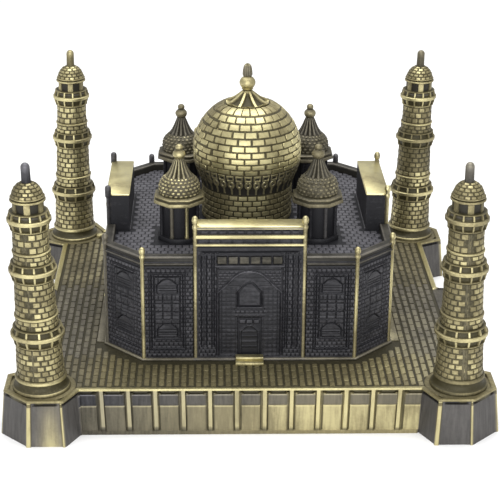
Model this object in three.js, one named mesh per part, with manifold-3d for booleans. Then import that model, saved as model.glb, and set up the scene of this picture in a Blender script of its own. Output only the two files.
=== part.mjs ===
// Souvenir model of a domed mausoleum on a square terrace with four corner towers, cast in metal
// as separate pieces and screwed together from below. Units are millimetres. +Z is up, -Y is the
// front, and the origin is the centre of the underside.
import * as THREE from 'three';
import { mergeVertices } from 'three/addons/utils/BufferGeometryUtils.js';
import Module from 'manifold-3d';

const wasm = await Module();
wasm.setup();

// ---- driving dimensions -------------------------------------------------------------------
const GAP = 0.3;                 // clearance between pieces that fit into one another

const FLOOR = 12.3;              // height of the terrace floor
const WALL = 58.7;               // terrace wall, from the centre, at the ground
const BASTION_OUT = 65.4;        // outer face of a corner bastion, at the ground
const BASTION_SIDE = [47.5, 58]; // where the two outer faces of a bastion start and end
const FLARE = 44;                // where a wall turns out towards its bastion
const LANDING_OUT = 62;          // outer edge of the landings at the two sides
const LANDING_HALF = 10.3;       // half the length of a landing
const DRAFT = 1.1;               // how far the terrace walls lean in over their height
const RIM = { width: 1.4, height: 0.4 };
const SHELL = 3.5;               // wall of the hollow terrace casting
const CEILING = 9.3;             // top of the hollow under the terrace
const REBATE = { wall: 2, depth: 2 };
const FELT = 0.8;                // thickness of the felt under the closing plate

const TOWER = 54.6;              // tower centres, from the middle in X and Y
const TOWER_TOP = 60.7;          // where the pavilion stands on the tower
const CUPOLA_TOP = 68.9;
const PIN_TOP = 73.9;

const FACE = 39.3;               // outer faces of the mausoleum
const CORNER = 28.7;             // where a face meets its chamfer
const PARAPET = 42.4;
const ROOF = 40.3;
const PARAPET_WIDTH = 2.6;
const SHELL_WALL = 2.6;          // wall of the hollow mausoleum casting
const SHELL_TOP = 38;            // top of the hollow inside it
const PILASTER = { r: 0.9, top: 45 };

const PORTAL = { half: 14.5, top: 51, post: 0.75, pinnacle: 53.7 };
const PORTAL_DEPTHS = [5.4, 6.4]; // of the slabs at front and back, and of those at the two sides
const ARCH = { half: 8, foot: 14, spring: 31.9, apex: 37.5, depth: 0.7 };
const STEP = { half: 3.8, deep: 3.6, tread: 1.8, rise: 0.8 };

const KIOSK = { at: 18.9, foot: 5.9, body: 5.3, eave: 6.9, eaveZ: 51, domeZ: 53.4, dome: 5.75, top: 67 };
const DRUM = { r: 12.9, top: 49.8 };
const DOME = { r: 15.4, z: 59.7, top: 73.2, foot: 12.95 };
const CAP = { rim: 5.9, neck: 1.5, top: 76.7 };
const FINIAL = { ball: 2.25, ballZ: 78.9, tip: 1.4, top: 84.4 };

const SCREW = { r: 1.2, head: 2.6, headHeight: 1.6, length: 7 };
const BOSS_AT = 24;              // screw bosses inside the mausoleum, from the middle in X and Y
const STUD = { r: 1.5, bottom: 33.5, top: 60 };
const NUT = { r: 3.2, height: 2.4 };

// ---- materials ----------------------------------------------------------------------------
const metal = (color, roughness, metalness = 0.85) => () =>
  new THREE.MeshStandardMaterial({ color, roughness, metalness });
const brass = metal(0xb9ad6c, 0.38);
const paleBrass = metal(0xd8cd86, 0.32);
const patina = metal(0x33333a, 0.5);
const slate = metal(0x55555c, 0.45);
const steel = metal(0x9a9a9c, 0.35);
const felt = metal(0x1b1b1d, 1, 0);

// ---- geometry helpers ---------------------------------------------------------------------
/** The same shape with only positions, and one vertex where several met. */
function welded(geometry) {
  geometry.deleteAttribute('normal');
  geometry.deleteAttribute('uv');
  return mergeVertices(geometry, 1e-4);
}

function solid(geometry) {
  const g = welded(geometry);
  return new wasm.Manifold(new wasm.Mesh({
    numProp: 3,
    vertProperties: new Float32Array(g.attributes.position.array),
    triVerts: new Uint32Array(g.index.array),
  }));
}

function surface(manifold) {
  const { vertProperties, triVerts } = manifold.getMesh();
  const g = new THREE.BufferGeometry();
  g.setAttribute('position', new THREE.BufferAttribute(vertProperties, 3));
  g.setIndex(new THREE.BufferAttribute(triVerts, 1));
  return g;
}

const joined = (first, ...rest) => rest.reduce((a, b) => a.add(b), first);
const cut = (first, ...rest) => rest.reduce((a, b) => a.subtract(b), first);

/** An upright prism on an outline, from z0 up to z1. */
function prism(points, z0, z1) {
  const g = new THREE.ExtrudeGeometry(new THREE.Shape(points), { depth: z1 - z0, bevelEnabled: false });
  return g.translate(0, 0, z0);
}

function box(x0, x1, y0, y1, z0, z1) {
  return new THREE.BoxGeometry(x1 - x0, y1 - y0, z1 - z0)
    .translate((x0 + x1) / 2, (y0 + y1) / 2, (z0 + z1) / 2);
}

function rod(r, z0, z1, sides = 8) {
  return new THREE.CylinderGeometry(r, r, z1 - z0, sides).rotateX(Math.PI / 2).translate(0, 0, (z0 + z1) / 2);
}

/** A turned shape about +Z from [radius, height] pairs that start and end on the axis. */
function turned(profile, sides) {
  const points = profile.map(([r, z]) => new THREE.Vector2(r, z));
  return new THREE.LatheGeometry(points, sides).rotateX(Math.PI / 2);
}

/** An anticlockwise outline moved inwards by d, corner for corner. */
function inset(points, d) {
  const count = points.length;
  const edges = points.map((p, i) => {
    const along = points[(i + 1) % count].clone().sub(p).normalize();
    const inward = new THREE.Vector2(-along.y, along.x).multiplyScalar(d);
    return { from: p.clone().add(inward), along };
  });
  return edges.map((edge, i) => {
    const before = edges[(i + count - 1) % count];
    const gap = edge.from.clone().sub(before.from);
    const t = gap.cross(edge.along) / before.along.cross(edge.along);
    return before.from.clone().addScaledVector(before.along, t);
  });
}

/** A solid between a lower and an upper outline that have the same number of corners. */
function drafted(lower, upper, z0, z1) {
  const count = lower.length;
  const positions = [
    ...lower.flatMap((p) => [p.x, p.y, z0]),
    ...upper.flatMap((p) => [p.x, p.y, z1]),
  ];
  const index = [];
  for (const [a, b, c] of THREE.ShapeUtils.triangulateShape(lower, [])) {
    index.push(a, c, b, a + count, b + count, c + count);
  }
  for (let i = 0; i < count; i += 1) {
    const j = (i + 1) % count;
    index.push(i, j, j + count, i, j + count, i + count);
  }
  const g = new THREE.BufferGeometry();
  g.setAttribute('position', new THREE.Float32BufferAttribute(positions, 3));
  g.setIndex(index);
  return g;
}

const quarterTurn = (p, n) => p.clone().rotateAround(new THREE.Vector2(), (n * Math.PI) / 2);

// ---- assembly -----------------------------------------------------------------------------
const model = new THREE.Group();

function add(name, geometry, material, parent = model) {
  const mesh = new THREE.Mesh(geometry, material());
  mesh.name = name;
  parent.add(mesh);
  return mesh;
}

// ---- terrace ------------------------------------------------------------------------------
/** Terrace outline at the ground, anticlockwise: walls, bastions and the two side landings. */
function terraceOutline() {
  const [near, far] = BASTION_SIDE;
  const corner = [[FLARE, -WALL], [near, -BASTION_OUT], [far, -BASTION_OUT], [BASTION_OUT, -far],
    [BASTION_OUT, -near], [WALL, -FLARE]].map(([x, y]) => new THREE.Vector2(x, y));
  const landing = [[WALL, -LANDING_HALF], [LANDING_OUT, -LANDING_HALF], [LANDING_OUT, LANDING_HALF],
    [WALL, LANDING_HALF]].map(([x, y]) => new THREE.Vector2(x, y));
  const turn = (points, n) => points.map((p) => quarterTurn(p, n));
  return [...corner, ...landing, ...turn(corner, 1), ...turn(corner, 2), ...turn(landing, 2),
    ...turn(corner, 3)];
}

const outline = terraceOutline();
const topOutline = inset(outline, DRAFT);
const SCREW_PLACES = [[-1, -1], [1, -1], [-1, 1], [1, 1]];
const CORNER_NAMES = ['front_left', 'front_right', 'back_left', 'back_right'];

function terrace() {
  const body = solid(drafted(outline, topOutline, 0, FLOOR));
  const rim = cut(
    solid(prism(topOutline, FLOOR - 0.2, FLOOR + RIM.height)),
    solid(prism(inset(topOutline, RIM.width), FLOOR - 1, FLOOR + 1)),
    solid(box(WALL - 4, LANDING_OUT, -LANDING_HALF, LANDING_HALF, FLOOR - 1, FLOOR + 1)),
    solid(box(-LANDING_OUT, 4 - WALL, -LANDING_HALF, LANDING_HALF, FLOOR - 1, FLOOR + 1)),
  );
  const hollow = solid(prism(inset(outline, SHELL), -1, CEILING));
  const rebate = solid(prism(inset(outline, REBATE.wall), -1, REBATE.depth));
  const holes = SCREW_PLACES.flatMap(([x, y]) => [TOWER, BOSS_AT].map((at) =>
    solid(rod(SCREW.r + GAP, CEILING - 1, FLOOR + 1).translate(x * at, y * at, 0))));
  return surface(cut(joined(body, rim), hollow, rebate, ...holes));
}

add('terrace_plinth', terrace(), brass);
const plateOutline = inset(outline, REBATE.wall + GAP);
add('base_plate', prism(plateOutline, FELT, REBATE.depth), steel);
add('base_felt', prism(plateOutline, 0, FELT), felt);

// ---- screws, stud and nut -----------------------------------------------------------------
function screw() {
  const under = CEILING - SCREW.headHeight;
  return turned([[0, under], [SCREW.head, under], [SCREW.head, CEILING], [SCREW.r, CEILING],
    [SCREW.r, CEILING + SCREW.length], [0, CEILING + SCREW.length + 0.8]], 8);
}

SCREW_PLACES.forEach(([x, y], i) => {
  add(`tower_screw_${CORNER_NAMES[i]}`, screw(), steel).position.set(x * TOWER, y * TOWER, 0);
  add(`mausoleum_screw_${CORNER_NAMES[i]}`, screw(), steel).position.set(x * BOSS_AT, y * BOSS_AT, 0);
});
const SCREW_HOLE = CEILING + SCREW.length + 1.5;

// ---- towers -------------------------------------------------------------------------------
/** One gallery: a thin ring, a row of windows, the main band and a second, shorter row. */
function gallery(z, band, ring) {
  return [[ring, z - 2.1], [ring, z - 1.5], [band, z], [band, z + 1.3], [band - 0.75, z + 2.7]];
}

const towerProfile = [
  [0, SCREW_HOLE], [SCREW.r + GAP, SCREW_HOLE], [SCREW.r + GAP, FLOOR],
  [7.6, FLOOR], [7.6, 13.3], [6.5, 15.2], [6.7, 15.3], [6.7, 16.2], [6.3, 16.3],
  [5.95, 25.2], ...gallery(27.4, 7, 6.25), [5.6, 30.2], [5.5, 32.9], [5.7, 33], [5.7, 33.6],
  [5.4, 33.7], [5.1, 42.9], ...gallery(45.1, 6.2, 5.5), [4.95, 47.9], [4.8, 50.3], [4.95, 50.4],
  [4.95, 51], [4.7, 51.1], [4.6, 56.4], ...gallery(58.6, 5.65, 4.95).slice(0, -1), [5.1, TOWER_TOP],
  [1.8, TOWER_TOP], [1.8, TOWER_TOP - 2.3], [0, TOWER_TOP - 2.3],
];
const cupolaProfile = [
  [0, TOWER_TOP - 2], [1.5, TOWER_TOP - 2], [1.5, TOWER_TOP], [4.15, TOWER_TOP], [4.15, 64],
  [4.55, 64.1], [4.55, 64.7], [4.3, 65.2], [3.9, 66.3], [3.35, 67.6], [2.5, 68.5], [1.6, CUPOLA_TOP],
  [0.9, CUPOLA_TOP], [0.9, CUPOLA_TOP - 1.5], [0, CUPOLA_TOP - 1.5],
];
const pinProfile = [
  [0, CUPOLA_TOP - 1.2], [0.6, CUPOLA_TOP - 1.2], [0.6, CUPOLA_TOP], [1.22, CUPOLA_TOP],
  [1.15, PIN_TOP - 1.1], [0.85, PIN_TOP - 0.35], [0, PIN_TOP],
];
// The cast towers stand a little off plumb: sideways lean, in millimetres for each millimetre up.
const LEAN = [-0.0264, -0.008, 0.0092, 0.0198];

SCREW_PLACES.forEach(([x, y], i) => {
  const place = new THREE.Group();
  place.position.set(x * TOWER, y * TOWER, 0);
  model.add(place);
  const leaning = new THREE.Matrix4().makeShear(0, 0, 0, 0, LEAN[i], 0)
    .premultiply(new THREE.Matrix4().makeTranslation(-LEAN[i] * FLOOR, 0, 0));
  const piece = (name, profile, sides, material) =>
    add(`tower_${CORNER_NAMES[i]}${name}`, turned(profile, sides).applyMatrix4(leaning), material, place);
  piece('_shaft', towerProfile, 14, brass);
  piece('_cupola', cupolaProfile, 12, brass);
  piece('_pin', pinProfile, 8, slate);
});

// ---- mausoleum ----------------------------------------------------------------------------
const faceCorners = [[CORNER, -FACE], [FACE, -CORNER]].map(([x, y]) => new THREE.Vector2(x, y));
const mausoleumOutline = [0, 1, 2, 3].flatMap((n) => faceCorners.map((p) => quarterTurn(p, n)));
const PEG = { r: 1.2, length: 2, z: 28 };

/** A short rod along Y, from y0 to y1, for the peg behind a portal and the hole it enters. */
const peg = (r, y0, y1) =>
  new THREE.CylinderGeometry(r, r, y1 - y0, 10).translate(0, (y0 + y1) / 2, PEG.z);

function mausoleumShell() {
  let shell = cut(
    solid(prism(mausoleumOutline, FLOOR, PARAPET)),
    solid(prism(inset(mausoleumOutline, PARAPET_WIDTH), ROOF, PARAPET + 1)),
    solid(prism(inset(mausoleumOutline, SHELL_WALL), FLOOR - 1, SHELL_TOP)),
  );
  const slotHalf = PORTAL.half + PORTAL.post + GAP;
  for (let n = 0; n < 4; n += 1) {
    const back = FACE - PORTAL_DEPTHS[n % 2] - GAP;
    const turn = (g) => solid(g.rotateZ((n * Math.PI) / 2));
    shell = cut(
      shell.add(turn(box(-slotHalf - 2, slotHalf + 2, -FACE + 1, -back + 2, FLOOR, ROOF - 0.5))),
      turn(box(-slotHalf, slotHalf, -FACE - 1, -back, FLOOR - 1, PARAPET + 1)),
      turn(peg(PEG.r + GAP, -back - 1, -back + 3)),
    );
  }
  const posts = inset(mausoleumOutline, 0.4).map((p) => solid(turned([
    [0, FLOOR], [PILASTER.r, FLOOR], [PILASTER.r, PARAPET + 0.6], [0.6, PARAPET + 0.9],
    [0.8, PILASTER.top - 0.8], [0, PILASTER.top]], 8).translate(p.x, p.y, 0)));
  const bosses = SCREW_PLACES.map(([x, y]) => cut(
    solid(rod(3, FLOOR, SHELL_TOP + 0.5)),
    solid(rod(SCREW.r + GAP, FLOOR - 1, SCREW_HOLE)),
  ).translate(x * BOSS_AT, y * BOSS_AT, 0));
  const pegHoles = SCREW_PLACES.map(([x, y]) =>
    solid(rod(2.3, ROOF - 1.8, ROOF + 1).translate(x * KIOSK.at, y * KIOSK.at, 0)));
  const studHole = solid(rod(STUD.r + GAP, SHELL_TOP - 1, ROOF + 1));
  return surface(cut(joined(shell, ...posts, ...bosses), ...pegHoles, studHole));
}

add('mausoleum_shell', mausoleumShell(), patina);

/** The recess of a portal, seen from the front: straight sides and a pointed head. */
function archShape() {
  const shape = new THREE.Shape();
  shape.moveTo(-ARCH.half, ARCH.foot);
  shape.lineTo(ARCH.half, ARCH.foot);
  shape.lineTo(ARCH.half, ARCH.spring);
  shape.quadraticCurveTo(ARCH.half * 0.85, ARCH.apex - 1.6, 0, ARCH.apex);
  shape.quadraticCurveTo(-ARCH.half * 0.85, ARCH.apex - 1.6, -ARCH.half, ARCH.spring);
  return shape;
}

function portal(depth) {
  const back = depth - FACE;
  const slab = solid(box(-PORTAL.half, PORTAL.half, -FACE, back, FLOOR, PORTAL.top));
  const posts = [-1, 1].map((side) => solid(turned([
    [0, FLOOR], [PORTAL.post, FLOOR], [PORTAL.post, PORTAL.top - 0.1], [1.1, PORTAL.top + 0.2],
    [0.9, PORTAL.pinnacle - 0.7], [0, PORTAL.pinnacle]], 8)
    .translate(side * PORTAL.half, 0.6 - FACE, 0)));
  const recess = solid(new THREE.ExtrudeGeometry(archShape(), { depth: 2, bevelEnabled: false,
    curveSegments: 5 }).rotateX(Math.PI / 2).translate(0, ARCH.depth - FACE, 0));
  const stub = solid(peg(PEG.r, back - 0.5, back + PEG.length));
  return surface(joined(cut(slab, recess), ...posts, stub));
}

/** Two treads in front of a door. */
function doorStep() {
  const back = -FACE - GAP;
  const profile = [[back, 0], [back, 2 * STEP.rise], [back - STEP.tread, 2 * STEP.rise],
    [back - STEP.tread, STEP.rise], [back - STEP.deep, STEP.rise], [back - STEP.deep, 0]];
  const shape = new THREE.Shape(profile.map(([y, z]) => new THREE.Vector2(y, z)));
  return new THREE.ExtrudeGeometry(shape, { depth: 2 * STEP.half, bevelEnabled: false })
    .rotateX(Math.PI / 2).rotateZ(Math.PI / 2).translate(-STEP.half, 0, FLOOR);
}

['front', 'right', 'back', 'left'].forEach((side, n) => {
  const face = new THREE.Group();
  face.rotation.z = (n * Math.PI) / 2;
  model.add(face);
  add(`portal_${side}`, portal(PORTAL_DEPTHS[n % 2]), patina, face);
  if (n % 2 === 0) add(`door_step_${side}`, doorStep(), brass, face);
});

// ---- kiosks -------------------------------------------------------------------------------
const kioskProfile = [
  [0, ROOF - 1.5], [2, ROOF - 1.5], [2, ROOF], [KIOSK.foot, ROOF],
  [KIOSK.foot, ROOF + 1.2], [KIOSK.body, ROOF + 1.2], [KIOSK.body, KIOSK.eaveZ],
  [KIOSK.eave, KIOSK.eaveZ + 0.1], [KIOSK.eave, KIOSK.eaveZ + 0.9], [KIOSK.eave - 0.5, KIOSK.eaveZ + 1.4],
  [KIOSK.eave - 0.5, KIOSK.domeZ - 0.4], [5.4, KIOSK.domeZ], [KIOSK.dome, 55.2], [5.45, 56.6],
  [4.6, 57.7], [3.3, 58.7], [2.3, 60.4], [1.6, 62], [1.2, 63], [1.7, 63.6], [1.8, 64.2], [1.3, 65.3],
  [0.85, 65.8], [0.85, KIOSK.top - 0.5], [0, KIOSK.top],
];
SCREW_PLACES.forEach(([x, y], i) => {
  add(`kiosk_${CORNER_NAMES[i]}`, turned(kioskProfile, 12), brass)
    .position.set(x * KIOSK.at, y * KIOSK.at, 0);
});

// ---- drum, dome, cap and finial -----------------------------------------------------------
const bore = STUD.r + GAP;
add('dome_drum', surface(cut(
  solid(turned([[0, ROOF], [DRUM.r, ROOF], [DRUM.r, DRUM.top], [0, DRUM.top]], 28)),
  solid(rod(bore, ROOF - 1, DRUM.top + 1)),
)), patina);

/** The onion dome: a swelling foot, a spherical body, and a flat top that carries the cap. */
function domeProfile() {
  const low = Math.asin((DRUM.top + 5 - DOME.z) / DOME.r);
  const high = Math.asin((DOME.top - DOME.z) / DOME.r);
  const arc = Array.from({ length: 13 }, (_, i) => {
    const a = low + ((high - low) * i) / 12;
    return [DOME.r * Math.cos(a), DOME.z + DOME.r * Math.sin(a)];
  });
  return [[0, STUD.top + 1], [bore, STUD.top + 1], [bore, DRUM.top], [DOME.foot, DRUM.top],
    [13.6, DRUM.top + 2], ...arc, [0, DOME.top]];
}

add('main_dome', turned(domeProfile(), 28), brass);
add('lotus_cap', turned([[0, DOME.top], [CAP.rim, DOME.top], [CAP.rim, 73.6], [4.2, 74.4], [2.6, 75.6],
  [CAP.neck, CAP.top], [0, CAP.top]], 20), paleBrass);
add('dome_finial', turned([[0, CAP.top], [1.3, CAP.top], [1.9, 77.6], [FINIAL.ball, FINIAL.ballZ],
  [1.8, 80.1], [1.1, 80.7], [FINIAL.tip, 81.2], [FINIAL.tip - 0.2, 83.4], [0.8, 84.1], [0, FINIAL.top]],
  12), paleBrass);
add('dome_stud', rod(STUD.r, STUD.bottom, STUD.top), steel);
add('dome_nut', surface(cut(
  solid(rod(NUT.r, SHELL_TOP - NUT.height, SHELL_TOP, 6)),
  solid(rod(bore, SHELL_TOP - NUT.height - 1, SHELL_TOP + 1)),
)), steel);

export default model;
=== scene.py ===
# Looks of a cast metal souvenir: a domed mausoleum on a square terrace with four corner towers.
# Lengths in this file are millimetres until Solid.make() turns them into metres. +Z is up, -Y is
# the front. Angles round an upright axis are degrees from the front (-Y), growing towards +X.
import math

import bpy
import numpy as np
from mathutils import Matrix, Vector


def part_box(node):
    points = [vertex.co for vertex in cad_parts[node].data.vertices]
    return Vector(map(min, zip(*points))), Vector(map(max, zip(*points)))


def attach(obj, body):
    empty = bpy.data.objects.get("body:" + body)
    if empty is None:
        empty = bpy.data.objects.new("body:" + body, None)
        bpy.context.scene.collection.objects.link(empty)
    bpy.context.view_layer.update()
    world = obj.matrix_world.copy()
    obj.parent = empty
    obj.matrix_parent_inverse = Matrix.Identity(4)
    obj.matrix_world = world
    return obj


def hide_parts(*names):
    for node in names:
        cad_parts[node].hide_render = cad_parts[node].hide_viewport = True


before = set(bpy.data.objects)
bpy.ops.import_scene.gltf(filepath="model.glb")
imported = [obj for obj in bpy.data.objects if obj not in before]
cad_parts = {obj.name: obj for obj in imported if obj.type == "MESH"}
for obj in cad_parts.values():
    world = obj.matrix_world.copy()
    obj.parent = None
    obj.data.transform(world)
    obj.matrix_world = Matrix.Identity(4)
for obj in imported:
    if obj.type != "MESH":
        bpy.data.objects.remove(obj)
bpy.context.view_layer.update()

MM = 0.001
random = np.random.default_rng(11)


# ---- sizes taken from the frame -----------------------------------------------------------
def extent(node):
    """Lowest and highest corner of a CAD node, in millimetres."""
    low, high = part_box(node)
    return np.array(low) / MM, np.array(high) / MM


FLOOR = extent("mausoleum_shell")[0][2]           # top of the terrace
OUT = extent("terrace_plinth")[1][0]              # outer faces of the corner bastions
RIM_TOP = extent("terrace_plinth")[1][2]
FACE = 39.3                                       # outer faces of the mausoleum
CORNER = 28.7                                     # where a face meets its chamfer
ROOF = 40.3
PARAPET = 42.4
PORTAL_HALF = 14.5
PORTAL_TOP = 51.0
DOME_R = (extent("main_dome")[1][0] - extent("main_dome")[0][0]) / 2
DOME_Z = 59.7
DRUM_TOP = extent("dome_drum")[1][2]
DRUM_R = 12.9
CAP_FOOT = extent("lotus_cap")[0][2]
CAP_TOP = extent("lotus_cap")[1][2]
TIP = extent("dome_finial")[1][2]
TOWER_TOP = 60.7                                  # where the pavilion stands on the tower
KIOSK_AT = 18.9                                   # kiosk centres, from the middle in X and Y
KIOSK_ROOM = 6.9                                  # how close the roof plates come to them
MORTAR = 0.26                                     # depth of the joints between bricks
TOWER = 54.6                                      # tower centres, from the middle in X and Y

CORNERS = {"front_left": (-1, -1), "front_right": (1, -1), "back_left": (-1, 1), "back_right": (1, 1)}
SIDES = ["front", "right", "back", "left"]


# ---- meshes -------------------------------------------------------------------------------
class Solid:
    """A mesh in the making from closed bodies. Each point has a wear (0 in a hollow, 1 on an edge
    that is rubbed bright), which on turned parts also holds painted light and shade: brighter on
    the side towards the lamps and darker away from them. Each point also has a tone (0 for brass,
    1 for blue-black plating)."""

    def __init__(self):
        self.points, self.wear_and_light, self.tone, self.faces, self.count = [], [], [], [], 0

    def add(self, points, faces, wear_and_light=0.0, tone=0.0):
        """faces is a list of index arrays, with one face in each row."""
        points = np.asarray(points, float).reshape(-1, 3)
        for values, value in ((self.wear_and_light, wear_and_light), (self.tone, tone)):
            values.append(np.broadcast_to(np.asarray(value, float).reshape(-1), len(points)))
        self.points.append(points)
        self.faces += [np.asarray(f) + self.count for f in faces]
        self.count += len(points)

    def make(self, name, material, slot, *nodes, sharp=48):
        """The finished piece, which stands for the CAD nodes named."""
        sizes = np.concatenate([np.full(len(f), f.shape[1]) for f in self.faces])
        loops = np.concatenate([f.ravel() for f in self.faces])
        starts = np.concatenate([[0], np.cumsum(sizes)[:-1]])
        mesh = bpy.data.meshes.new(name)
        mesh.vertices.add(self.count)
        mesh.vertices.foreach_set("co", (np.concatenate(self.points) * MM).astype(np.float32).ravel())
        mesh.loops.add(len(loops))
        mesh.polygons.add(len(sizes))
        mesh.polygons.foreach_set("loop_start", starts.astype(np.int32))
        mesh.polygons.foreach_set("vertices", loops.astype(np.int32))
        mesh.update(calc_edges=True)
        for label, values in (("wear_and_light", self.wear_and_light), ("tone", self.tone)):
            data = np.concatenate(values).astype(np.float32)
            mesh.attributes.new(label, "FLOAT", "POINT").data.foreach_set("value", data)
        mesh.shade_smooth()
        mesh.set_sharp_from_angle(angle=math.radians(sharp))
        mesh.materials.append(material)
        piece = bpy.data.objects.new(name, mesh)
        bpy.context.scene.collection.objects.link(piece)
        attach(piece, "root")
        if nodes:
            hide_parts(*nodes)


def grid_faces(rows, cols, wrap=False):
    """Quads of a grid whose columns run to the right and rows run up, seen from outside."""
    r, c = np.meshgrid(np.arange(rows - 1), np.arange(cols if wrap else cols - 1), indexing="ij")
    first = r * cols + c
    second = r * cols + (c + 1) % cols
    return np.stack([first, second, second + cols, first + cols], -1).reshape(-1, 4)


def capped(rows, cols):
    """Faces of a grid that closes round a body, with one face over each end."""
    ring = np.arange(cols)
    return [grid_faces(rows, cols, wrap=True), ring[None, ::-1], (ring + (rows - 1) * cols)[None]]


def turned_surface(profile, at=(0, 0), lean=0.0):
    """Places points by angle, distance along a turned profile, and height above it."""
    r, z = np.array(profile, float).T[:2]
    run = np.concatenate([[0], np.cumsum(np.hypot(np.diff(r), np.diff(z)))])

    def place(angle, along, height=0.0):
        near = np.interp(along - 0.05, run, r), np.interp(along - 0.05, run, z)
        far = np.interp(along + 0.05, run, r), np.interp(along + 0.05, run, z)
        dr, dz = far[0] - near[0], far[1] - near[1]
        size = np.maximum(np.hypot(dr, dz), 1e-9)
        radius = np.interp(along, run, r) + height * dz / size
        level = np.interp(along, run, z) - height * dr / size
        a = np.radians(angle)
        x = at[0] + radius * np.sin(a) + lean * (level - FLOOR)
        return np.stack([x, at[1] - radius * np.cos(a), level], -1)

    return place, run[-1]


def flat_surface(origin, right, up):
    """Places points by distance to the right, up, and out of a flat face."""
    origin, right, up = (np.array(v, float) for v in (origin, right, up))
    out = np.cross(right, up)

    def place(u, v, height=0.0):
        height = np.broadcast_to(height, np.shape(u))
        return origin + u[..., None] * right + v[..., None] * up + height[..., None] * out

    return place


def lathe(solid, profile, sides=48, at=(0, 0), lean=0.0, tone=0.0, phase=0.0, wear_and_light_scale=1.0, shade=None):
    """A turned body from [radius, height, wear] points, from its lower end to its upper end. The
    wear can fade round the body with painted shade: shade is a function of the angle."""
    r, z, wear_and_light = np.array(profile, float).T
    angle = np.radians(phase + np.arange(sides) * 360 / sides)
    x = at[0] + r[:, None] * np.sin(angle) + lean * (z[:, None] - FLOOR)
    y = at[1] - r[:, None] * np.cos(angle)
    points = np.stack([x, y, np.broadcast_to(z[:, None], x.shape)], -1)
    around = np.ones(sides) if shade is None else shade(np.degrees(angle))
    solid.add(points, capped(len(r), sides), np.outer(wear_and_light * wear_and_light_scale, around), tone)


def on(level, *points):
    """A turned profile whose heights are measured from a level."""
    return [(r, level + z, wear_and_light) for r, z, wear_and_light in points]


def prism(solid, ring, low, high, wear_and_light, tone):
    """An upright body with straight sides from an outline."""
    points = [np.column_stack([ring, np.full(len(ring), z)]) for z in (low, high)]
    solid.add(points, capped(2, len(ring)), wear_and_light, tone)


def even(value):
    """A function of angle and distance along that is the same everywhere."""
    return lambda angle, along: value


def relief_band(solid, place, along, sides, height, wear_and_light, tone=even(0.0)):
    """A turned body with a relief: height, wear and tone are functions of angle and distance along."""
    angle, run = np.meshgrid(np.arange(sides) * 360 / sides, along)
    solid.add(place(angle, run, height(angle, run)), capped(len(along), sides), wear_and_light(angle, run),
              tone(angle, run))


def blocks(solid, place, cells, high=0.24, sunk=0.15, bevel=(0.1, 0.12), wear_and_light=1.0, tone=0.0):
    """Raised cast blocks with rounded edges. A cell is left, right, bottom, top on the surface."""
    cells = np.asarray(cells, float).reshape(-1, 4)
    count = len(cells)
    u = np.array([0, bevel[0], 0.5, 1 - bevel[0], 1])
    v = np.array([0, bevel[1], 0.5, 1 - bevel[1], 1])
    crown = np.array([0, 0.9, 1, 0.9, 0])
    shape = np.minimum.outer(crown, crown) * np.where(np.outer(crown, crown) < 0.82, 0.95, 1)
    rubbed = np.array([0.15, 0.95, 1, 0.95, 0.15])
    rubbed = np.minimum.outer(rubbed, rubbed)
    left, right, bottom, top = cells.T[:, :, None, None]
    uu = np.broadcast_to(left + (right - left) * u[None, None, :], (count, 5, 5))
    vv = np.broadcast_to(bottom + (top - bottom) * v[None, :, None], (count, 5, 5))
    rise = high * random.uniform(0.82, 1.1, (count, 1, 1))
    points = place(uu, vv, -sunk + (rise + sunk) * shape)
    quads = grid_faces(5, 5)
    rim = np.array([0, 5, 10, 15, 20, 21, 22, 23, 24, 19, 14, 9, 4, 3, 2, 1])
    offsets = (np.arange(count) * 25)[:, None, None]
    faces = [(quads[None] + offsets).reshape(-1, 4), (rim[None, None] + offsets).reshape(-1, 16)]
    worn_and_lit = np.broadcast_to(np.asarray(wear_and_light, float).reshape(-1, 1, 1), (count, 1, 1)) * rubbed
    toned = np.broadcast_to(np.asarray(tone, float).reshape(-1, 1, 1), (count, 1, 1))
    solid.add(points, faces, worn_and_lit, np.broadcast_to(toned, worn_and_lit.shape))


def box(solid, low, high, bevel=0.15, wear_and_light=1.0, tone=0.0, turn=0):
    """A box with rounded edges, turned about the middle by a number of quarter turns."""
    low, high = np.array(low, float), np.array(high, float)
    ring = np.array([(1, -1), (1, 1), (-1, 1), (-1, -1)])
    half, centre = (high - low)[:2] / 2, (high + low)[:2] / 2
    levels = [(low[2], bevel), (low[2] + bevel, 0), (high[2] - bevel, 0), (high[2], bevel)]
    points = []
    for z, inset in levels:
        for sx, sy in ring:
            x, y = centre + np.array([sx, sy]) * (half - inset)
            cut = bevel * 0.7
            ends = [(x - cut * sx, y), (x, y - cut * sy)]
            points += [(px, py, z) for px, py in (ends if sx == sy else ends[::-1])][::-1]
    points = np.array(points)
    for _ in range(turn):
        points = np.stack([-points[:, 1], points[:, 0], points[:, 2]], -1)
    solid.add(points, capped(4, 8), wear_and_light, tone)


def mitres(path, closed):
    """How far each corner of a path moves, for each millimetre that the path moves inwards."""
    path = np.array(path, float)
    along = np.diff(np.vstack([path, path[:1]]), axis=0)
    along /= np.linalg.norm(along, axis=1)[:, None]
    inward = np.stack([-along[:, 1], along[:, 0]], -1)
    if not closed:
        inward[-1] = inward[-2]
    before = np.roll(inward, 1, axis=0)
    if not closed:
        before[0] = inward[0]
    return (before + inward) / (1 + np.sum(before * inward, axis=1))[:, None]


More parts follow.
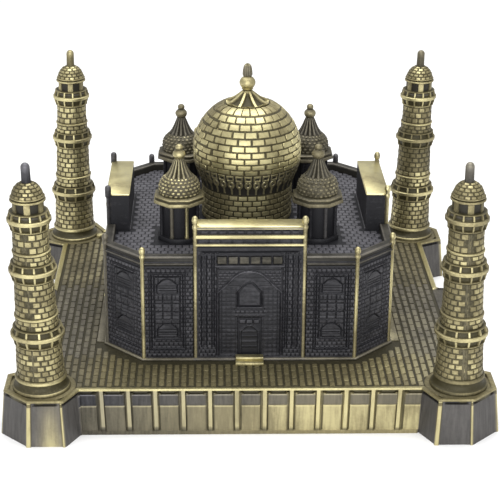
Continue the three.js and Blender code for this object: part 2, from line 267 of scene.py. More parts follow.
def sweep(solid, path, profile, tone=0.0):
    """A moulding along an anticlockwise path from [inset, height, wear] points, in the order
    that goes up the outer side and down the inner side."""
    path = np.array(path, float)
    inset, z, wear_and_light = np.array(profile, float).T
    corner = path[None] + mitres(path, False)[None] * inset[:, None, None]
    height = np.broadcast_to(z[:, None, None], corner.shape[:2] + (1,))
    rows, cols = corner.shape[:2]
    order = np.concatenate([corner, height], -1)
    ring = np.vstack([order, order[:1]])
    faces = grid_faces(rows + 1, cols) % (rows * cols)
    ends = [(np.arange(rows) * cols)[None], (np.arange(rows) * cols + cols - 1)[None, ::-1]]
    solid.add(ring[:rows], [faces] + ends, np.repeat(wear_and_light, cols), tone)


SOFT_EDGE = 0.2           # how wide the slope is at the edge of a relief


class Panel:
    """A flat wall panel with a relief, drawn as a field of heights: x across and z up."""

    def __init__(self, half, z0, z1, step, wear_and_light):
        across = np.linspace(-half, half, int(2 * half / step) + 1)
        self.x, self.z = np.meshgrid(across, np.linspace(z0, z1, int((z1 - z0) / step) + 1))
        self.h = np.zeros_like(self.x)
        self.wear_and_light = np.full_like(self.x, wear_and_light)
        self.tone = np.ones_like(self.x)
        self.half = half

    def rect(self, x0, x1, z0, z1, soft=SOFT_EDGE):
        """1 inside a rectangle and 0 outside it, with a soft edge."""
        edge = np.minimum(np.minimum(self.x - x0, x1 - self.x), np.minimum(self.z - z0, z1 - self.z))
        return np.clip(edge / soft + 0.5, 0, 1)

    def arch(self, half, foot, spring, apex):
        """1 inside a pointed arch on straight jambs."""
        up = np.clip((self.z - spring) / (apex - spring), 0, 1)
        width = half * (1 - up) ** 0.5 * (1 - 0.22 * up * (1 - up) * 2)
        edge = np.minimum(width - np.abs(self.x), self.z - foot)
        return np.clip(edge / SOFT_EDGE + 0.5, 0, 1) * (self.z < apex)

    def set(self, mask, height, wear_and_light, tone=1.0):
        """Draws height, wear and tone where the mask is 1."""
        self.h = self.h * (1 - mask) + height * mask
        self.wear_and_light = self.wear_and_light * (1 - mask) + wear_and_light * mask
        self.tone = self.tone * (1 - mask) + tone * mask

    def bar(self, x, half, z0, z1, height, wear_and_light, tone=1.0):
        """A flat rectangle, half to either side of x."""
        self.set(self.rect(x - half, x + half, z0, z1), height, wear_and_light, tone)

    def band(self, z0, z1, height, wear_and_light, tone=1.0):
        """A flat band over the whole width."""
        self.bar(0, self.half, z0, z1, height, wear_and_light, tone)

    def niche(self, half, foot, spring, apex, height, wear_and_light):
        """A flat field in the shape of a pointed arch."""
        self.set(self.arch(half, foot, spring, apex), height, wear_and_light)

    def frame(self, x0, x1, z0, z1, width, height, wear_and_light):
        """A flat border just inside a rectangle."""
        band = self.rect(x0, x1, z0, z1) * (1 - self.rect(x0 + width, x1 - width, z0 + width, z1 - width))
        self.set(band, height, wear_and_light)

    def bricks(self, x0, x1, z0, z1, pitch, course, height, wear_and_light, joint=0.35):
        """Courses of small blocks, each row half a block along from the last."""
        rows = max(1, round((z1 - z0) / course))
        course = (z1 - z0) / rows
        row = np.floor((self.z - z0) / course)
        along = (self.x - x0 + (row % 2) * pitch / 2) % pitch
        up = (self.z - z0) % course
        edge = np.minimum(np.minimum(along, pitch - along), np.minimum(up, course - up))
        mask = np.clip((edge - joint / 2) / 0.15, 0, 1) * self.rect(x0, x1, z0, z1, 0.1)
        self.set(mask, height, wear_and_light)

    def close(self, solid, place, back, shoulder=1.3):
        """Adds the relief to a solid, with a plated rim round it, straight sides and a flat back."""
        rows, cols = self.x.shape
        n = rows * cols
        index = np.arange(n).reshape(rows, cols)
        edge = np.concatenate([index[0, :-1], index[:-1, -1], index[-1, :0:-1], index[:0:-1, 0]])
        flat_x, flat_z = self.x.ravel()[edge], self.z.ravel()[edge]
        points = [place(self.x, self.z, self.h).reshape(-1, 3)]
        points += [place(flat_x, flat_z, np.full(len(edge), -depth)) for depth in (shoulder, back)]
        ring = np.arange(len(edge)) + n
        after = np.roll(ring, -1)
        faces = [grid_faces(rows, cols), np.stack([edge, ring, after, np.roll(edge, -1)], -1),
                 np.stack([ring, ring + len(edge), after + len(edge), after], -1),
                 (ring + len(edge))[None, ::-1]]
        around = 2 * len(edge)
        solid.add(np.concatenate(points), faces, np.append(self.wear_and_light.ravel(), np.full(around, 0.06)),
                  np.append(self.tone.ravel(), np.ones(around)))


# ---- materials ----------------------------------------------------------------------------
def node(tree, kind, inputs=None, **settings):
    """A shader node with some sockets set or linked and some settings."""
    made = tree.nodes.new(kind)
    for key, value in settings.items():
        setattr(made, key, value)
    for key, value in (inputs or {}).items():
        if isinstance(value, bpy.types.NodeSocket):
            tree.links.new(value, made.inputs[key])
        else:
            made.inputs[key].default_value = value
    return made


def math_node(tree, operation, a, b, clamp=False):
    return node(tree, "ShaderNodeMath", {0: a, 1: b}, operation=operation, use_clamp=clamp).outputs[0]


def mixed(tree, factor, a, b):
    """A colour between a and b."""
    made = node(tree, "ShaderNodeMix", {"Factor": factor, 6: a, 7: b}, data_type="RGBA")
    return made.outputs[2]


def ranged(tree, value, low, high, to_low, to_high):
    """A value carried from one range to another, and kept inside it."""
    inputs = {"Value": value, "From Min": low, "From Max": high, "To Min": to_low, "To Max": to_high}
    return node(tree, "ShaderNodeMapRange", inputs).outputs[0]


def noise(tree, point, scale, detail=3.0, roughness=0.55):
    inputs = {"Vector": point, "Scale": scale, "Detail": detail, "Roughness": roughness}
    return node(tree, "ShaderNodeTexNoise", inputs).outputs["Fac"]


def rgb(r, g, b):
    return (r, g, b, 1.0)


def new_material(name):
    """A material with its node tree, its shader and the place on the object."""
    material = bpy.data.materials.new(name)
    material.use_nodes = True
    tree = material.node_tree
    point = node(tree, "ShaderNodeTexCoord").outputs["Object"]
    return material, tree, tree.nodes["Principled BSDF"], point


BRASS = rgb(0.65, 0.59, 0.325)
BRASS_DULL = rgb(0.325, 0.28, 0.15)
OLIVE = rgb(0.045, 0.038, 0.014)
GUNMETAL = rgb(0.125, 0.122, 0.135)
BLUE_BLACK = rgb(0.010, 0.010, 0.013)


def antiqued(name, streak=(1, 1, 1), grain=0.5, patchy=(0.66, 1.1), mottle=0.06):
    """Cast metal with dark plating that is rubbed through to brass on the raised parts. The value that
    drives this also holds painted light and shade, so lit sides come out brighter brass. streak
    stretches the brush lines, grain is the depth of the bumps, and patchy and mottle are how
    unevenly the metal is rubbed, over centimetres and from speck to speck."""
    material, tree, shader, point = new_material(name)
    wear_and_light = node(tree, "ShaderNodeAttribute", attribute_name="wear_and_light").outputs["Fac"]
    tone = node(tree, "ShaderNodeAttribute", attribute_name="tone").outputs["Fac"]

    patches = noise(tree, point, scale=95, detail=2)
    specks = noise(tree, point, scale=1500, detail=4)
    stretched = node(tree, "ShaderNodeMapping", {"Vector": point, "Scale": streak}).outputs[0]
    brushed = noise(tree, stretched, scale=1300, detail=3)

    worn_and_lit = math_node(tree, "MULTIPLY", wear_and_light, ranged(tree, patches, 0.36, 0.62, *patchy))
    worn_and_lit = math_node(tree, "ADD", worn_and_lit, ranged(tree, specks, 0.3, 0.7, -mottle, mottle))
    worn_and_lit = math_node(tree, "ADD", worn_and_lit, ranged(tree, brushed, 0.3, 0.7, -0.07, 0.07), clamp=True)

    brass = mixed(tree, ranged(tree, worn_and_lit, 0.45, 0.95, 0, 1), BRASS_DULL, BRASS)
    raised = mixed(tree, tone, brass, GUNMETAL)
    hollow = mixed(tree, tone, OLIVE, BLUE_BLACK)
    colour = mixed(tree, ranged(tree, worn_and_lit, 0.08, 0.62, 0, 1), hollow, raised)
    tree.links.new(colour, shader.inputs["Base Color"])

    bare_and_lit = math_node(tree, "SUBTRACT", worn_and_lit, math_node(tree, "MULTIPLY", tone, 0.35), clamp=True)
    tree.links.new(ranged(tree, bare_and_lit, 0.1, 0.7, 0.35, 1.0), shader.inputs["Metallic"])
    rough = ranged(tree, worn_and_lit, 0.1, 0.8, 0.56, 0.43)
    rough = math_node(tree, "ADD", rough, ranged(tree, specks, 0.3, 0.7, -0.06, 0.06))
    tree.links.new(rough, shader.inputs["Roughness"])

    pits = node(tree, "ShaderNodeBump", {"Height": specks, "Strength": 0.35 * grain, "Distance": 0.00012})
    lines = node(tree, "ShaderNodeBump", {
        "Height": brushed, "Strength": 0.4 * grain, "Distance": 0.00008, "Normal": pits.outputs[0]})
    tree.links.new(lines.outputs[0], shader.inputs["Normal"])
    return material


def plain_metal(name, colour, roughness, streak):
    """Bare or plated metal with fine drawn lines."""
    material, tree, shader, point = new_material(name)
    stretched = node(tree, "ShaderNodeMapping", {"Vector": point, "Scale": streak}).outputs[0]
    lines = noise(tree, stretched, scale=900, detail=4)
    darker = tuple(0.6 * c for c in colour[:3]) + (1.0,)
    tree.links.new(mixed(tree, lines, darker, colour), shader.inputs["Base Color"])
    shader.inputs["Metallic"].default_value = 1.0
    low, high = roughness - 0.08, roughness + 0.1
    tree.links.new(ranged(tree, lines, 0.3, 0.7, low, high), shader.inputs["Roughness"])
    bump = node(tree, "ShaderNodeBump", {"Height": lines, "Strength": 0.25, "Distance": 0.0001})
    tree.links.new(bump.outputs[0], shader.inputs["Normal"])
    return material


def felt_material():
    """Short black fibres on the underside."""
    material, tree, shader, point = new_material("black_felt")
    fibres = noise(tree, point, scale=2600, detail=6, roughness=0.7)
    dark, light = rgb(0.006, 0.006, 0.007), rgb(0.035, 0.035, 0.038)
    tree.links.new(mixed(tree, fibres, dark, light), shader.inputs["Base Color"])
    shader.inputs["Roughness"].default_value = 1.0
    shader.inputs["Sheen Weight"].default_value = 0.35
    bump = node(tree, "ShaderNodeBump", {"Height": fibres, "Strength": 0.8, "Distance": 0.0004})
    tree.links.new(bump.outputs[0], shader.inputs["Normal"])
    return material


CAST = antiqued("antique_cast_brass")
WALL_FINISH = antiqued("antique_brass_brushed_upright", streak=(1, 1, 0.08), grain=0.6,
                       patchy=(0.86, 1.06), mottle=0.03)
PLATED = antiqued("blue_black_plating", streak=(0.2, 0.2, 1), grain=0.7)
BRIGHT = antiqued("rubbed_brass", streak=(1, 1, 0.15), grain=0.35)
PIN = antiqued("grey_plated_pin", streak=(1, 1, 0.05), grain=0.5)
STEEL = plain_metal("zinc_plated_steel", rgb(0.62, 0.62, 0.64), 0.34, streak=(1, 0.1, 1))
FELT = felt_material()


# ---- terrace ------------------------------------------------------------------------------
WALL = 58.7               # terrace wall at the ground, from the centre
FLARE = 44.0              # where a wall turns out towards its bastion
BASTION = (47.5, 58.0)    # ends of the outer faces of a bastion
LANDING = (62.0, 10.3)    # outer edge and half length of the landings at the sides
DRAFT = 1.1               # how far the walls lean in over their height
RIM_WIDTH = 1.4
STRIP_PITCH = 7.0         # pilaster strips along a wall
STRIP_HALF = 0.65
LEDGE = 1.0               # height of the ledge at the foot
STEP_LINE = 7.9           # where the recessed upper part of a panel starts
PANEL_TOP = 10.9


def quarter_turn(points, n):
    """Points turned n times by 90 degrees, from the front towards the right."""
    for _ in range(n):
        points = [(-y, x) for x, y in points]
    return points


def terrace_outline():
    """Corners of the terrace at the ground, anticlockwise from the front right bastion."""
    corner = [(FLARE, -WALL), (BASTION[0], -OUT), (BASTION[1], -OUT), (OUT, -BASTION[1]),
              (OUT, -BASTION[0]), (WALL, -FLARE)]
    landing = [(WALL, -LANDING[1]), (LANDING[0], -LANDING[1]), (LANDING[0], LANDING[1]),
               (WALL, LANDING[1])]
    return (corner + landing + quarter_turn(corner, 1) + quarter_turn(corner, 2)
            + quarter_turn(landing, 2) + quarter_turn(corner, 3))


def soft_step(value, edge, width=0.12):
    """0 below an edge and 1 above it, with a slope of a given width between."""
    return np.clip((value - edge) / width + 0.5, 0, 1)


def between(value, low, high, width=0.12):
    """1 between two edges and 0 outside them, with soft slopes."""
    return soft_step(value, low, width) * (1 - soft_step(value, high, width))


def wall_relief(x, z):
    """Depth, wear and tone of a straight terrace wall, x from the middle of the wall."""
    from_strip = abs(x % STRIP_PITCH - STRIP_PITCH / 2)
    strip = 1 - soft_step(from_strip, STRIP_HALF)
    flank = between(from_strip, STRIP_HALF, STRIP_HALF + 0.4)
    panel = (1 - strip) * (1 - flank)
    upper = between(z, STEP_LINE, PANEL_TOP)
    notch_foot = PANEL_TOP + 0.5 * np.clip((STRIP_HALF + 1.2 - from_strip) / 0.5, 0, 1)
    notch = between(z, notch_foot, 12.0) * soft_step(from_strip, STRIP_HALF + 0.3)
    depth = (0.4 * panel + 0.6 * flank + 0.35 * panel * upper) * (1 - notch) + 1.3 * notch
    depth *= 1 - between(z, -1, LEDGE)
    step_edge = between(z, STEP_LINE - 0.45, STEP_LINE - 0.05) * panel
    wear_and_light = 0.66 * strip * soft_step(z, LEDGE + 0.3, 1.2) + panel * (0.56 - 0.2 * upper) + 0.12 * flank
    wear_and_light += 0.2 * step_edge + 0.3 * between(z, PANEL_TOP - 0.4, PANEL_TOP) * panel
    wear_and_light = np.where(z < LEDGE + 0.1, 0.42, wear_and_light * (1 - notch))
    return depth, wear_and_light, 0.5 * upper * panel


def bastion_relief(near_corner, z, lower_glow, posts):
    """Depth and wear of a bastion face, by the distance to its nearest corner."""
    post = posts * (1 - soft_step(near_corner, 1.05))
    groove = between(z, PANEL_TOP + 0.35, 12.0) * soft_step(near_corner, 1.6 * posts)
    depth = 0.4 * (1 - post) * (1 - groove) + 0.95 * groove
    wear_and_light = 0.7 * post * (1 - between(z, 11.0, 11.9) * 0.6) + (1 - post) * (0.3 + lower_glow)
    return depth, wear_and_light * (1 - groove)


def wall_levels():
    """Heights of the points up the terrace wall, close together where the relief is fine."""
    coarse, fine = np.arange(0, 10.4, 0.6), np.arange(PANEL_TOP - 0.5, 12.12, 0.12)
    edges = [LEDGE - 0.12, LEDGE + 0.12, STEP_LINE - 0.5, STEP_LINE - 0.1, STEP_LINE + 0.1]
    return np.array(sorted(set(np.round(np.concatenate([coarse, fine, edges]), 3))))


def straight_face(along, facing_front, z):
    """Relief of a panelled wall; the front is brighter towards the right."""
    depth, wear_and_light, plated = wall_relief(along, z)
    warm = np.clip(0.84 + (along if facing_front else 0) / 90, 0.35, 1.0)
    wear_and_light = wear_and_light * np.where(wear_and_light > 0.62, 1, warm)
    return depth, wear_and_light, np.clip(0.8 * (1 - warm) + plated, 0, 1)


def bastion_face(t, near, middle, square, z):
    """Relief of a bastion's face, brighter low on the faces at front and back left."""
    glow = 0.42 * math.exp(-((t - 0.62) * 3.2) ** 2) if abs(middle[1]) > OUT - 1 else 0.0
    lower = glow * (middle[0] < 0) * (1 - z / 13) ** 0.6
    depth, wear_and_light = bastion_relief(near, z, lower, 1.0 if square else 0.0)
    return depth, wear_and_light, np.clip(0.85 - 1.7 * lower, 0, 1) * (near > 1.0 or not square)


def wall_side(a, b):
    """One side of the terrace from corner to corner: at each station its share of the length, and
    the inset, height, wear and tone of the points from the foot up, over the rim and down inside."""
    z = wall_levels()
    length, middle = np.linalg.norm(b - a), (a + b) / 2
    straight = length > 20
    landing = abs(abs(middle[0]) - LANDING[0]) < 2 and abs(middle[1]) < LANDING[1] + 0.1
    stations = np.linspace(0, 1, max(2, int(length / (0.3 if straight else 0.7))), endpoint=False)
    if landing or not straight:
        post = np.array([0.96, 1.14]) / length
        stations = np.sort(np.concatenate([stations, post, 1 - post]))
    rise = 0.02 if landing else RIM_TOP - FLOOR
    bright = 0.3 if landing else 0.85 if straight else 0.5
    rim = DRAFT + np.array([0, 0.02, 0.2, RIM_WIDTH - 0.2, RIM_WIDTH, RIM_WIDTH + 0.05])
    rim_height = FLOOR + rise * np.array([0, 0.55, 1, 1, 0.6, 0]) + [-0.1, 0, 0, 0, 0, -0.15]
    height = np.concatenate([z, rim_height, [FLOOR - 0.6, 0.0]])
    for t in stations:
        near = min(t, 1 - t) * length
        if straight:
            along = (a + (b - a) * t)[1 - int(np.argmax(np.abs(middle)))]
            depth, wear_and_light, tone = straight_face(along, middle[1] < -20, z)
            depth = depth * (near >= 0.3)
        elif landing:
            depth, wear_and_light, tone = np.zeros(len(z)), np.full(len(z), 0.35), np.full(len(z), 0.6)
        else:
            depth, wear_and_light, tone = bastion_face(t, near, middle, min(abs(b - a)) < 0.01, z)
        inset = np.concatenate([DRAFT * z / FLOOR + depth, rim, [3.0, 2.0]])
        wear_and_light = np.concatenate([wear_and_light, bright * np.array([0.8, 1, 1, 1, 0.9, 0.2, 0, 0])])
        yield t, inset, height, wear_and_light, np.concatenate([tone, np.full(8, 0.5 if landing else 0.0)])


def terrace_wall():
    """The outer wall, its rim and its inner side, as one closed band round the terrace."""
    outline = np.array(terrace_outline())
    move = mitres(outline, True)
    columns, wears, tones = [], [], []
    for i in range(len(outline)):
        j = (i + 1) % len(outline)
        for t, inset, height, wear_and_light, tone in wall_side(outline[i], outline[j]):
            start, end = outline[i] + move[i] * inset[:, None], outline[j] + move[j] * inset[:, None]
            columns.append(np.column_stack([start * (1 - t) + end * t, height]))
            wears.append(wear_and_light)
            tones.append(tone)
    grid = np.array(columns).transpose(1, 0, 2)
    rows, cols = grid.shape[:2]
    faces = grid_faces(rows + 1, cols, wrap=True) % (rows * cols)
    solid = Solid()
    solid.add(grid, [faces], np.array(wears).T, np.array(tones).T)
    solid.make("terrace_wall", WALL_FINISH, "antique_brass", "terrace_plinth", sharp=40)


def octagon(inset=0.0):
    """Outline of the mausoleum, moved inwards."""
    corners = [(CORNER, -FACE), (FACE, -CORNER)]
    path = [p for n in range(4) for p in quarter_turn(corners, n)]
    return np.array(path) + mitres(path, True) * inset


def free_stretches(low, high, gaps):
    """What is left of a line from low to high after the gaps are taken out, but for short ends."""
    stretches = [(low, high)]
    for start, end in gaps:
        stretches = [s for a, b in stretches for s in ((a, min(b, start)), (max(a, end), b))
                     if s[1] - s[0] > SHORTEST]
    return stretches


def circle_gap(x, cx, cy, radius):
    """Where a line along Y at x crosses a round hole."""
    reach = radius ** 2 - (x - cx) ** 2
    return (cy - math.sqrt(reach), cy + math.sqrt(reach)) if reach > 0 else (0.0, 0.0)


def octagon_reach(x, inset):
    """Half the width along Y of the mausoleum's outline at x."""
    face, corner = FACE - inset, CORNER + FACE - inset * math.sqrt(2)
    return max(0.0, min(face, corner - abs(x))) if abs(x) < face else 0.0


PAVING_EDGE = 55.3        # ends of the columns of paving
LAST_COLUMN = 55.2        # no column starts beyond this
PAVING_PITCH = 1.95       # from column to column
PAVING_ROW = 4.2          # from block to block in a column
PAVING_BLOCK = (1.56, 3.75)
SHORTEST = 0.9            # a cut block that would be shorter is left out
TOWER_HOLE = 9.0          # radius of the paving's edge round a tower
WALL_MARGIN = 2.9         # bare floor round the mausoleum


def paving_cells():
    """Outlines of the paving blocks, clear of the towers and the mausoleum."""
    width, length = PAVING_BLOCK
    cells = []
    columns = int(LAST_COLUMN / PAVING_PITCH)
    for n in range(-columns, columns + 1):
        x = n * PAVING_PITCH
        gaps = [circle_gap(x, sx * TOWER, sy * TOWER, TOWER_HOLE) for sx, sy in CORNERS.values()]
        reach = octagon_reach(x, -WALL_MARGIN)
        if reach > 0:
            gaps.append((-reach, reach))
        shift = PAVING_ROW / 2 if n % 2 else 0.0
        for low, high in free_stretches(-PAVING_EDGE, PAVING_EDGE, gaps):
            start = math.floor((low - shift) / PAVING_ROW) * PAVING_ROW + shift
            while start < high:
                y0, y1 = max(low, start), min(high, start + length)
                if y1 - y0 > SHORTEST:
                    cells.append((x - width / 2, x + width / 2, y0, y1))
                start += PAVING_ROW
    return np.array(cells)


def paving():
    """Long blocks in columns from front to back, on a slab between the walls. They are brighter
    to the front right and back left, and along the two side walls."""
    solid = Solid()
    outline = np.array(terrace_outline())
    ring = outline + mitres(outline, True) * 2.4
    prism(solid, ring, FLOOR - 2.2, FLOOR - 0.2, 0.07, 0.25)
    cells = paving_cells()
    x, y = cells[:, :2].mean(1), cells[:, 2:].mean(1)
    bright = 0.33 + 0.3 * np.clip((x - 5) / 40, 0, 1) * np.clip((10 - y) / 40, 0, 1)
    bright += 0.45 * np.clip((x + 52) / 10, 0, 1) * (x < -38) * np.clip((y - 12) / 20, 0, 1)
    bright += np.where(y < -36, 0.04, 0.14 * np.clip((np.abs(x) - 30) / 8, 0, 1))
    bright *= random.uniform(0.85, 1.12, len(cells))
    tone = np.where(y < -36, 0.0, 0.3) + np.clip((np.abs(x) - 38) / 28, 0, 0.3) * (y < 12)
    place = flat_surface((0, 0, FLOOR - 0.2), (1, 0, 0), (0, 1, 0))
    blocks(solid, place, cells, high=0.35, bevel=(0.12, 0.04), wear_and_light=bright, tone=tone)
    box(solid, (-47.4, 51.5, FLOOR - 0.3), (-44.9, 53.2, FLOOR + 1.0), wear_and_light=0.85)
    gutters(solid)
    solid.make("terrace_paving", CAST, "antique_brass")


def gutters(solid):
    """Smooth margins of the floor along the two side walls of the mausoleum."""
    reach, width = 27.5, 2.7
    for sx, split, wears in ((-1, 4, (0.42, 0.85)), (1, -8, (0.6, 0.42))):
        inner, outer = sorted((sx * (FACE - 0.5), sx * (FACE + width)))
        for low, high, wear_and_light in ((-reach, split, wears[0]), (split, reach, wears[1])):
            box(solid, (inner, low, FLOOR - 0.3), (outer, high, FLOOR + 0.1), 0.06, wear_and_light=wear_and_light,
                tone=0.85 - 0.8 * wear_and_light)


def bastion_tops():
    """Smooth floor of each bastion under its tower, and of the two landings."""
    solid = Solid()
    for sx, sy in CORNERS.values():
        lathe(solid, [(8.9, FLOOR - 1, 0), (8.9, FLOOR + 0.02, 0.3), (8.6, FLOOR + 0.12, 0.38)], 40,
              at=(sx * TOWER, sy * TOWER), tone=0.05)
    for sx in (-1, 1):
        inner, outer = sorted((sx * 56.2, sx * 60.6))
        box(solid, (inner, -LANDING[1] + 1.2, FLOOR - 1), (outer, LANDING[1] - 1.2, FLOOR + 0.02),
            wear_and_light=0.35, tone=0.7)
    solid.make("bastion_tops", CAST, "antique_brass")


# ---- towers -------------------------------------------------------------------------------
# A stretch of brickwork is given by the radius and height of its two ends, a gallery by the height
# of its bright band and the radii of the band and of the rings round it, and a ring by its height
# and radius.
SHAFTS = [((6.3, 16.3), (5.95, 25.2)), ((5.6, 30.3), (5.5, 32.9)), ((5.4, 33.7), (5.1, 42.9)),
          ((4.95, 47.9), (4.8, 50.3)), ((4.7, 51.1), (4.6, 56.4))]
GALLERIES = [(27.4, 7.0, 6.25), (45.1, 6.2, 5.5), (58.6, 5.65, 4.95)]
RINGS = [(32.85, 5.7), (50.35, 4.97)]
BRICK_LENGTH, BRICK_COURSE = 2.05, 1.56           # with the joints
CUPOLA = [(4.05, 65.2), (3.75, 66.2), (3.2, 67.35), (2.4, 68.2), (1.35, 68.75)]
PIN_R = 1.15              # radius of the round end of a pin


class Tower:
    """One corner tower. lean is its shift in X for each millimetre up, lit the angle that faces the
    light, where the painted light on its blocks and rings is brightest, seam the angle and width of
    the mould seam, level and foot how bright the tower and its foot are, plated a stretch of its
    height that is darker, and grey how much plating its pin has."""

    def __init__(self, name, lean, lit, seam=None, level=1.0, foot=0.85, plated=(0, 0), grey=0.0):
        sx, sy = CORNERS[name]
        self.name, self.at, self.lean = name, (sx * TOWER, sy * TOWER), lean
        self.lit, self.seam, self.level, self.foot = lit, seam, level, foot
        self.plated, self.grey = plated, grey

    def brightness(self, angle, z):
        """Wear of a block on the tower, with painted light and shade: highest on the side towards lit
        and lower away from it. Blocks low on the shaft and on the plated stretch are darker too.
        """
        low, high = self.plated
        dimmed = (0.62 if low < z < high else 1.0) * np.interp(z, [16, 20], [0.7, 1.0])
        return self.level * dimmed * max(0.4, 0.46 + 0.46 * math.cos(math.radians(angle - self.lit)))

    def shade(self, angle):
        """Painted shade on a ring: its wear fades away from the lit side round the tower."""
        return self.level * np.maximum(0.5, 0.62 + 0.34 * np.cos(np.radians(angle - self.lit)))

    def surface(self, *profile):
        return turned_surface(profile, self.at, self.lean)

    def turn(self, solid, profile, sides=48, tone=0.0):
        """A turned body with the same wear all round."""
        lathe(solid, profile, sides, self.at, self.lean, tone=tone)

    def ring(self, solid, r, z0, z1, scale, inner=1.0):
        """A rounded ring with a share of the full wear, faded away from the lit side by painted shade."""
        lathe(solid, ring_band(r, z0, z1, inner), 48, self.at, self.lean, wear_and_light_scale=scale,
              shade=self.shade)


TOWERS = [Tower("front_left", -0.0264, 30, seam=(-12, 13), grey=1.0),
          Tower("front_right", -0.008, 5, seam=(4, 26), level=0.85, foot=0.55, grey=0.7),
          Tower("back_left", 0.0092, -10),
          Tower("back_right", 0.0198, -8, plated=(34, 58), grey=0.4)]


def ring_band(r, z0, z1, inner):
    """Profile of a rounded ring that stands on a turned body."""
    soft = min(0.2, (z1 - z0) * 0.3)
    return [(r - inner, z0, 0), (r - 0.22, z0 + 0.02, 0.3), (r, z0 + soft, 1), (r, z1 - soft, 1),
            (r - 0.22, z1 - 0.02, 0.8), (r - inner, z1, 0)]


def brick_wall(solid, tower, low, high):
    """Bricks round a stretch of a tower, with a thin ragged seam of the mould where there is one."""
    place, run = tower.surface((low[0] - MORTAR, low[1]), (high[0] - MORTAR, high[1]))
    rows = max(1, round(run / BRICK_COURSE))
    course = run / rows
    number = round(2 * math.pi * (low[0] + high[0]) / 2 / BRICK_LENGTH)
    seam = tower.seam
    cells, wear_and_light = [], []
    for row in range(rows):
        for n in range(number):
            left = (n + 0.5 * (row % 2)) * 360 / number + random.uniform(-1.0, 1.0)
            right = left + 360 / number * random.uniform(0.88, 0.94)
            middle = (left + right) / 2
            if seam and abs((middle - seam[0] + 180) % 360 - 180) < seam[1] / 2:
                continue
            cells.append((left, right, (row + 0.05) * course, (row + 0.95) * course))
            # painted light: blocks towards the tower's lit side are brighter
            wear_and_light.append(tower.brightness(middle, low[1] + row * course) * random.uniform(0.7, 1.12))
    blocks(solid, place, cells, high=MORTAR, bevel=(0.1, 0.12), wear_and_light=np.clip(wear_and_light, 0, 1.0))
    if seam:
        seam_line(solid, place, *seam, run)


def seam_line(solid, place, angle, width, run):
    """Flash of the mould: short lengths of a thin raised line, on a smeared smooth strip."""
    blocks(solid, place, [(angle - width * 0.46, angle + width * 0.46, 0.05, run - 0.05)],
           high=MORTAR * 0.55, bevel=(0.3, 0.02), wear_and_light=0.27, tone=0.2)
    count = max(2, round(run / 1.1))
    cells, wear_and_light = [], []
    for k in range(count):
        middle = angle + random.uniform(-1.1, 1.1)
        cells.append((middle - 1.6, middle + 1.6, k * run / count, (k + 1.15) * run / count))
        wear_and_light.append(random.choice([0.05, 0.1, 0.55]))
    blocks(solid, place, cells, high=MORTAR * 0.85, bevel=(0.3, 0.2), wear_and_light=wear_and_light)


def courses(numbers, run, width, foot, head, brightness, spread, start=0.0, jitter=0.0):
    """Cells and wear of blocks round a turned body, in even courses that are each half a block
    along from the last. numbers is the number of blocks in each course; width, foot and head are
    shares of a block's length and of a course's height."""
    cells, wear_and_light = [], []
    rows = len(numbers)
    for row, number in enumerate(numbers):
        for n in range(number):
            left = (n + 0.5 * (row % 2)) * 360 / number + start
            if jitter:
                left += random.uniform(-jitter, jitter)
            cells.append((left, left + 360 / number * width, (row + foot) * run / rows,
                          (row + head) * run / rows))
            wear_and_light.append(brightness(left) * random.uniform(*spread))
    return cells, wear_and_light


def gallery(solid, tower, z, band, ring):
    """A balcony: window cells between posts, below and above a bright band."""
    tower.turn(solid, on(z, (ring - 0.8, -2.4, 0), (ring - 0.45, -1.6, 0.05), (band - 0.85, 0, 0.05),
                         (band - 0.8, 1.2, 0.05), (band - 1.35, 2.6, 0.05), (ring - 0.9, 2.9, 0)))
    tower.ring(solid, ring, z - 2.1, z - 1.55, 0.62)
    tower.ring(solid, band, z, z + 1.15, 0.85)
    tower.ring(solid, ring + 0.05, z + 2.5, z + 2.85, 0.55, inner=0.8)
    centres = np.arange(12) * 30 + 10
    for low, high in (((ring - 0.35, z - 1.6), (band - 0.6, z + 0.1)),
                      ((band - 0.6, z + 1.2), (ring - 0.25, z + 2.6))):
        place, run = tower.surface(low, high)
        cells = [(c - 3.9, c + 3.9, -0.1, run + 0.1) for c in centres]
        # painted light: posts towards the tower's lit side are brighter
        wear_and_light = [min(0.9, tower.brightness(c, z) * random.uniform(0.8, 1.1)) for c in centres]
        blocks(solid, place, cells, high=0.42, sunk=0.4, bevel=(0.2, 0.05), wear_and_light=wear_and_light)


def tower_base(solid, tower):
    """The round foot on the floor of the bastion."""
    profile = on(FLOOR, (7.0, 0, 0), (7.55, 0.1, 0.15), (7.6, 0.45, 0.25), (7.5, 0.75, 0.6),
                 (7.35, 0.98, 0.8), (7.15, 1.05, 0.1), (6.55, 1.5, 0.08), (6.35, 2.7, 0.08),
                 (6.45, 3.05, 0.3), (6.72, 3.15, 0.85), (6.72, 3.7, 0.85), (6.5, 3.95, 0.6),
                 (6.0, 4.1, 0))
    # painted shade: the foot's wear fades away from the lit side
    lathe(solid, profile, 56, tower.at, tower.lean, wear_and_light_scale=tower.foot, shade=tower.shade)


def tower_shaft(tower):
    """The foot, five stretches of brickwork, two rings and three galleries, cast in one."""
    solid = Solid()
    tower_base(solid, tower)
    for low, high in SHAFTS:
        tower.turn(solid, [(low[0] - 1, low[1] - 0.3, 0), (low[0] - MORTAR, low[1] - 0.3, 0.16),
                           (high[0] - MORTAR, high[1] + 0.3, 0.16), (high[0] - 1, high[1] + 0.3, 0)],
                   tone=0.1)
        brick_wall(solid, tower, low, high)
    for z, r in RINGS:
        tower.ring(solid, r, z, z + 0.75, 0.85)
    for z, band, ring in GALLERIES:
        gallery(solid, tower, z, band, ring)
    solid.make(f"tower_{tower.name}_brickwork", CAST, "antique_brass", f"tower_{tower.name}_shaft")


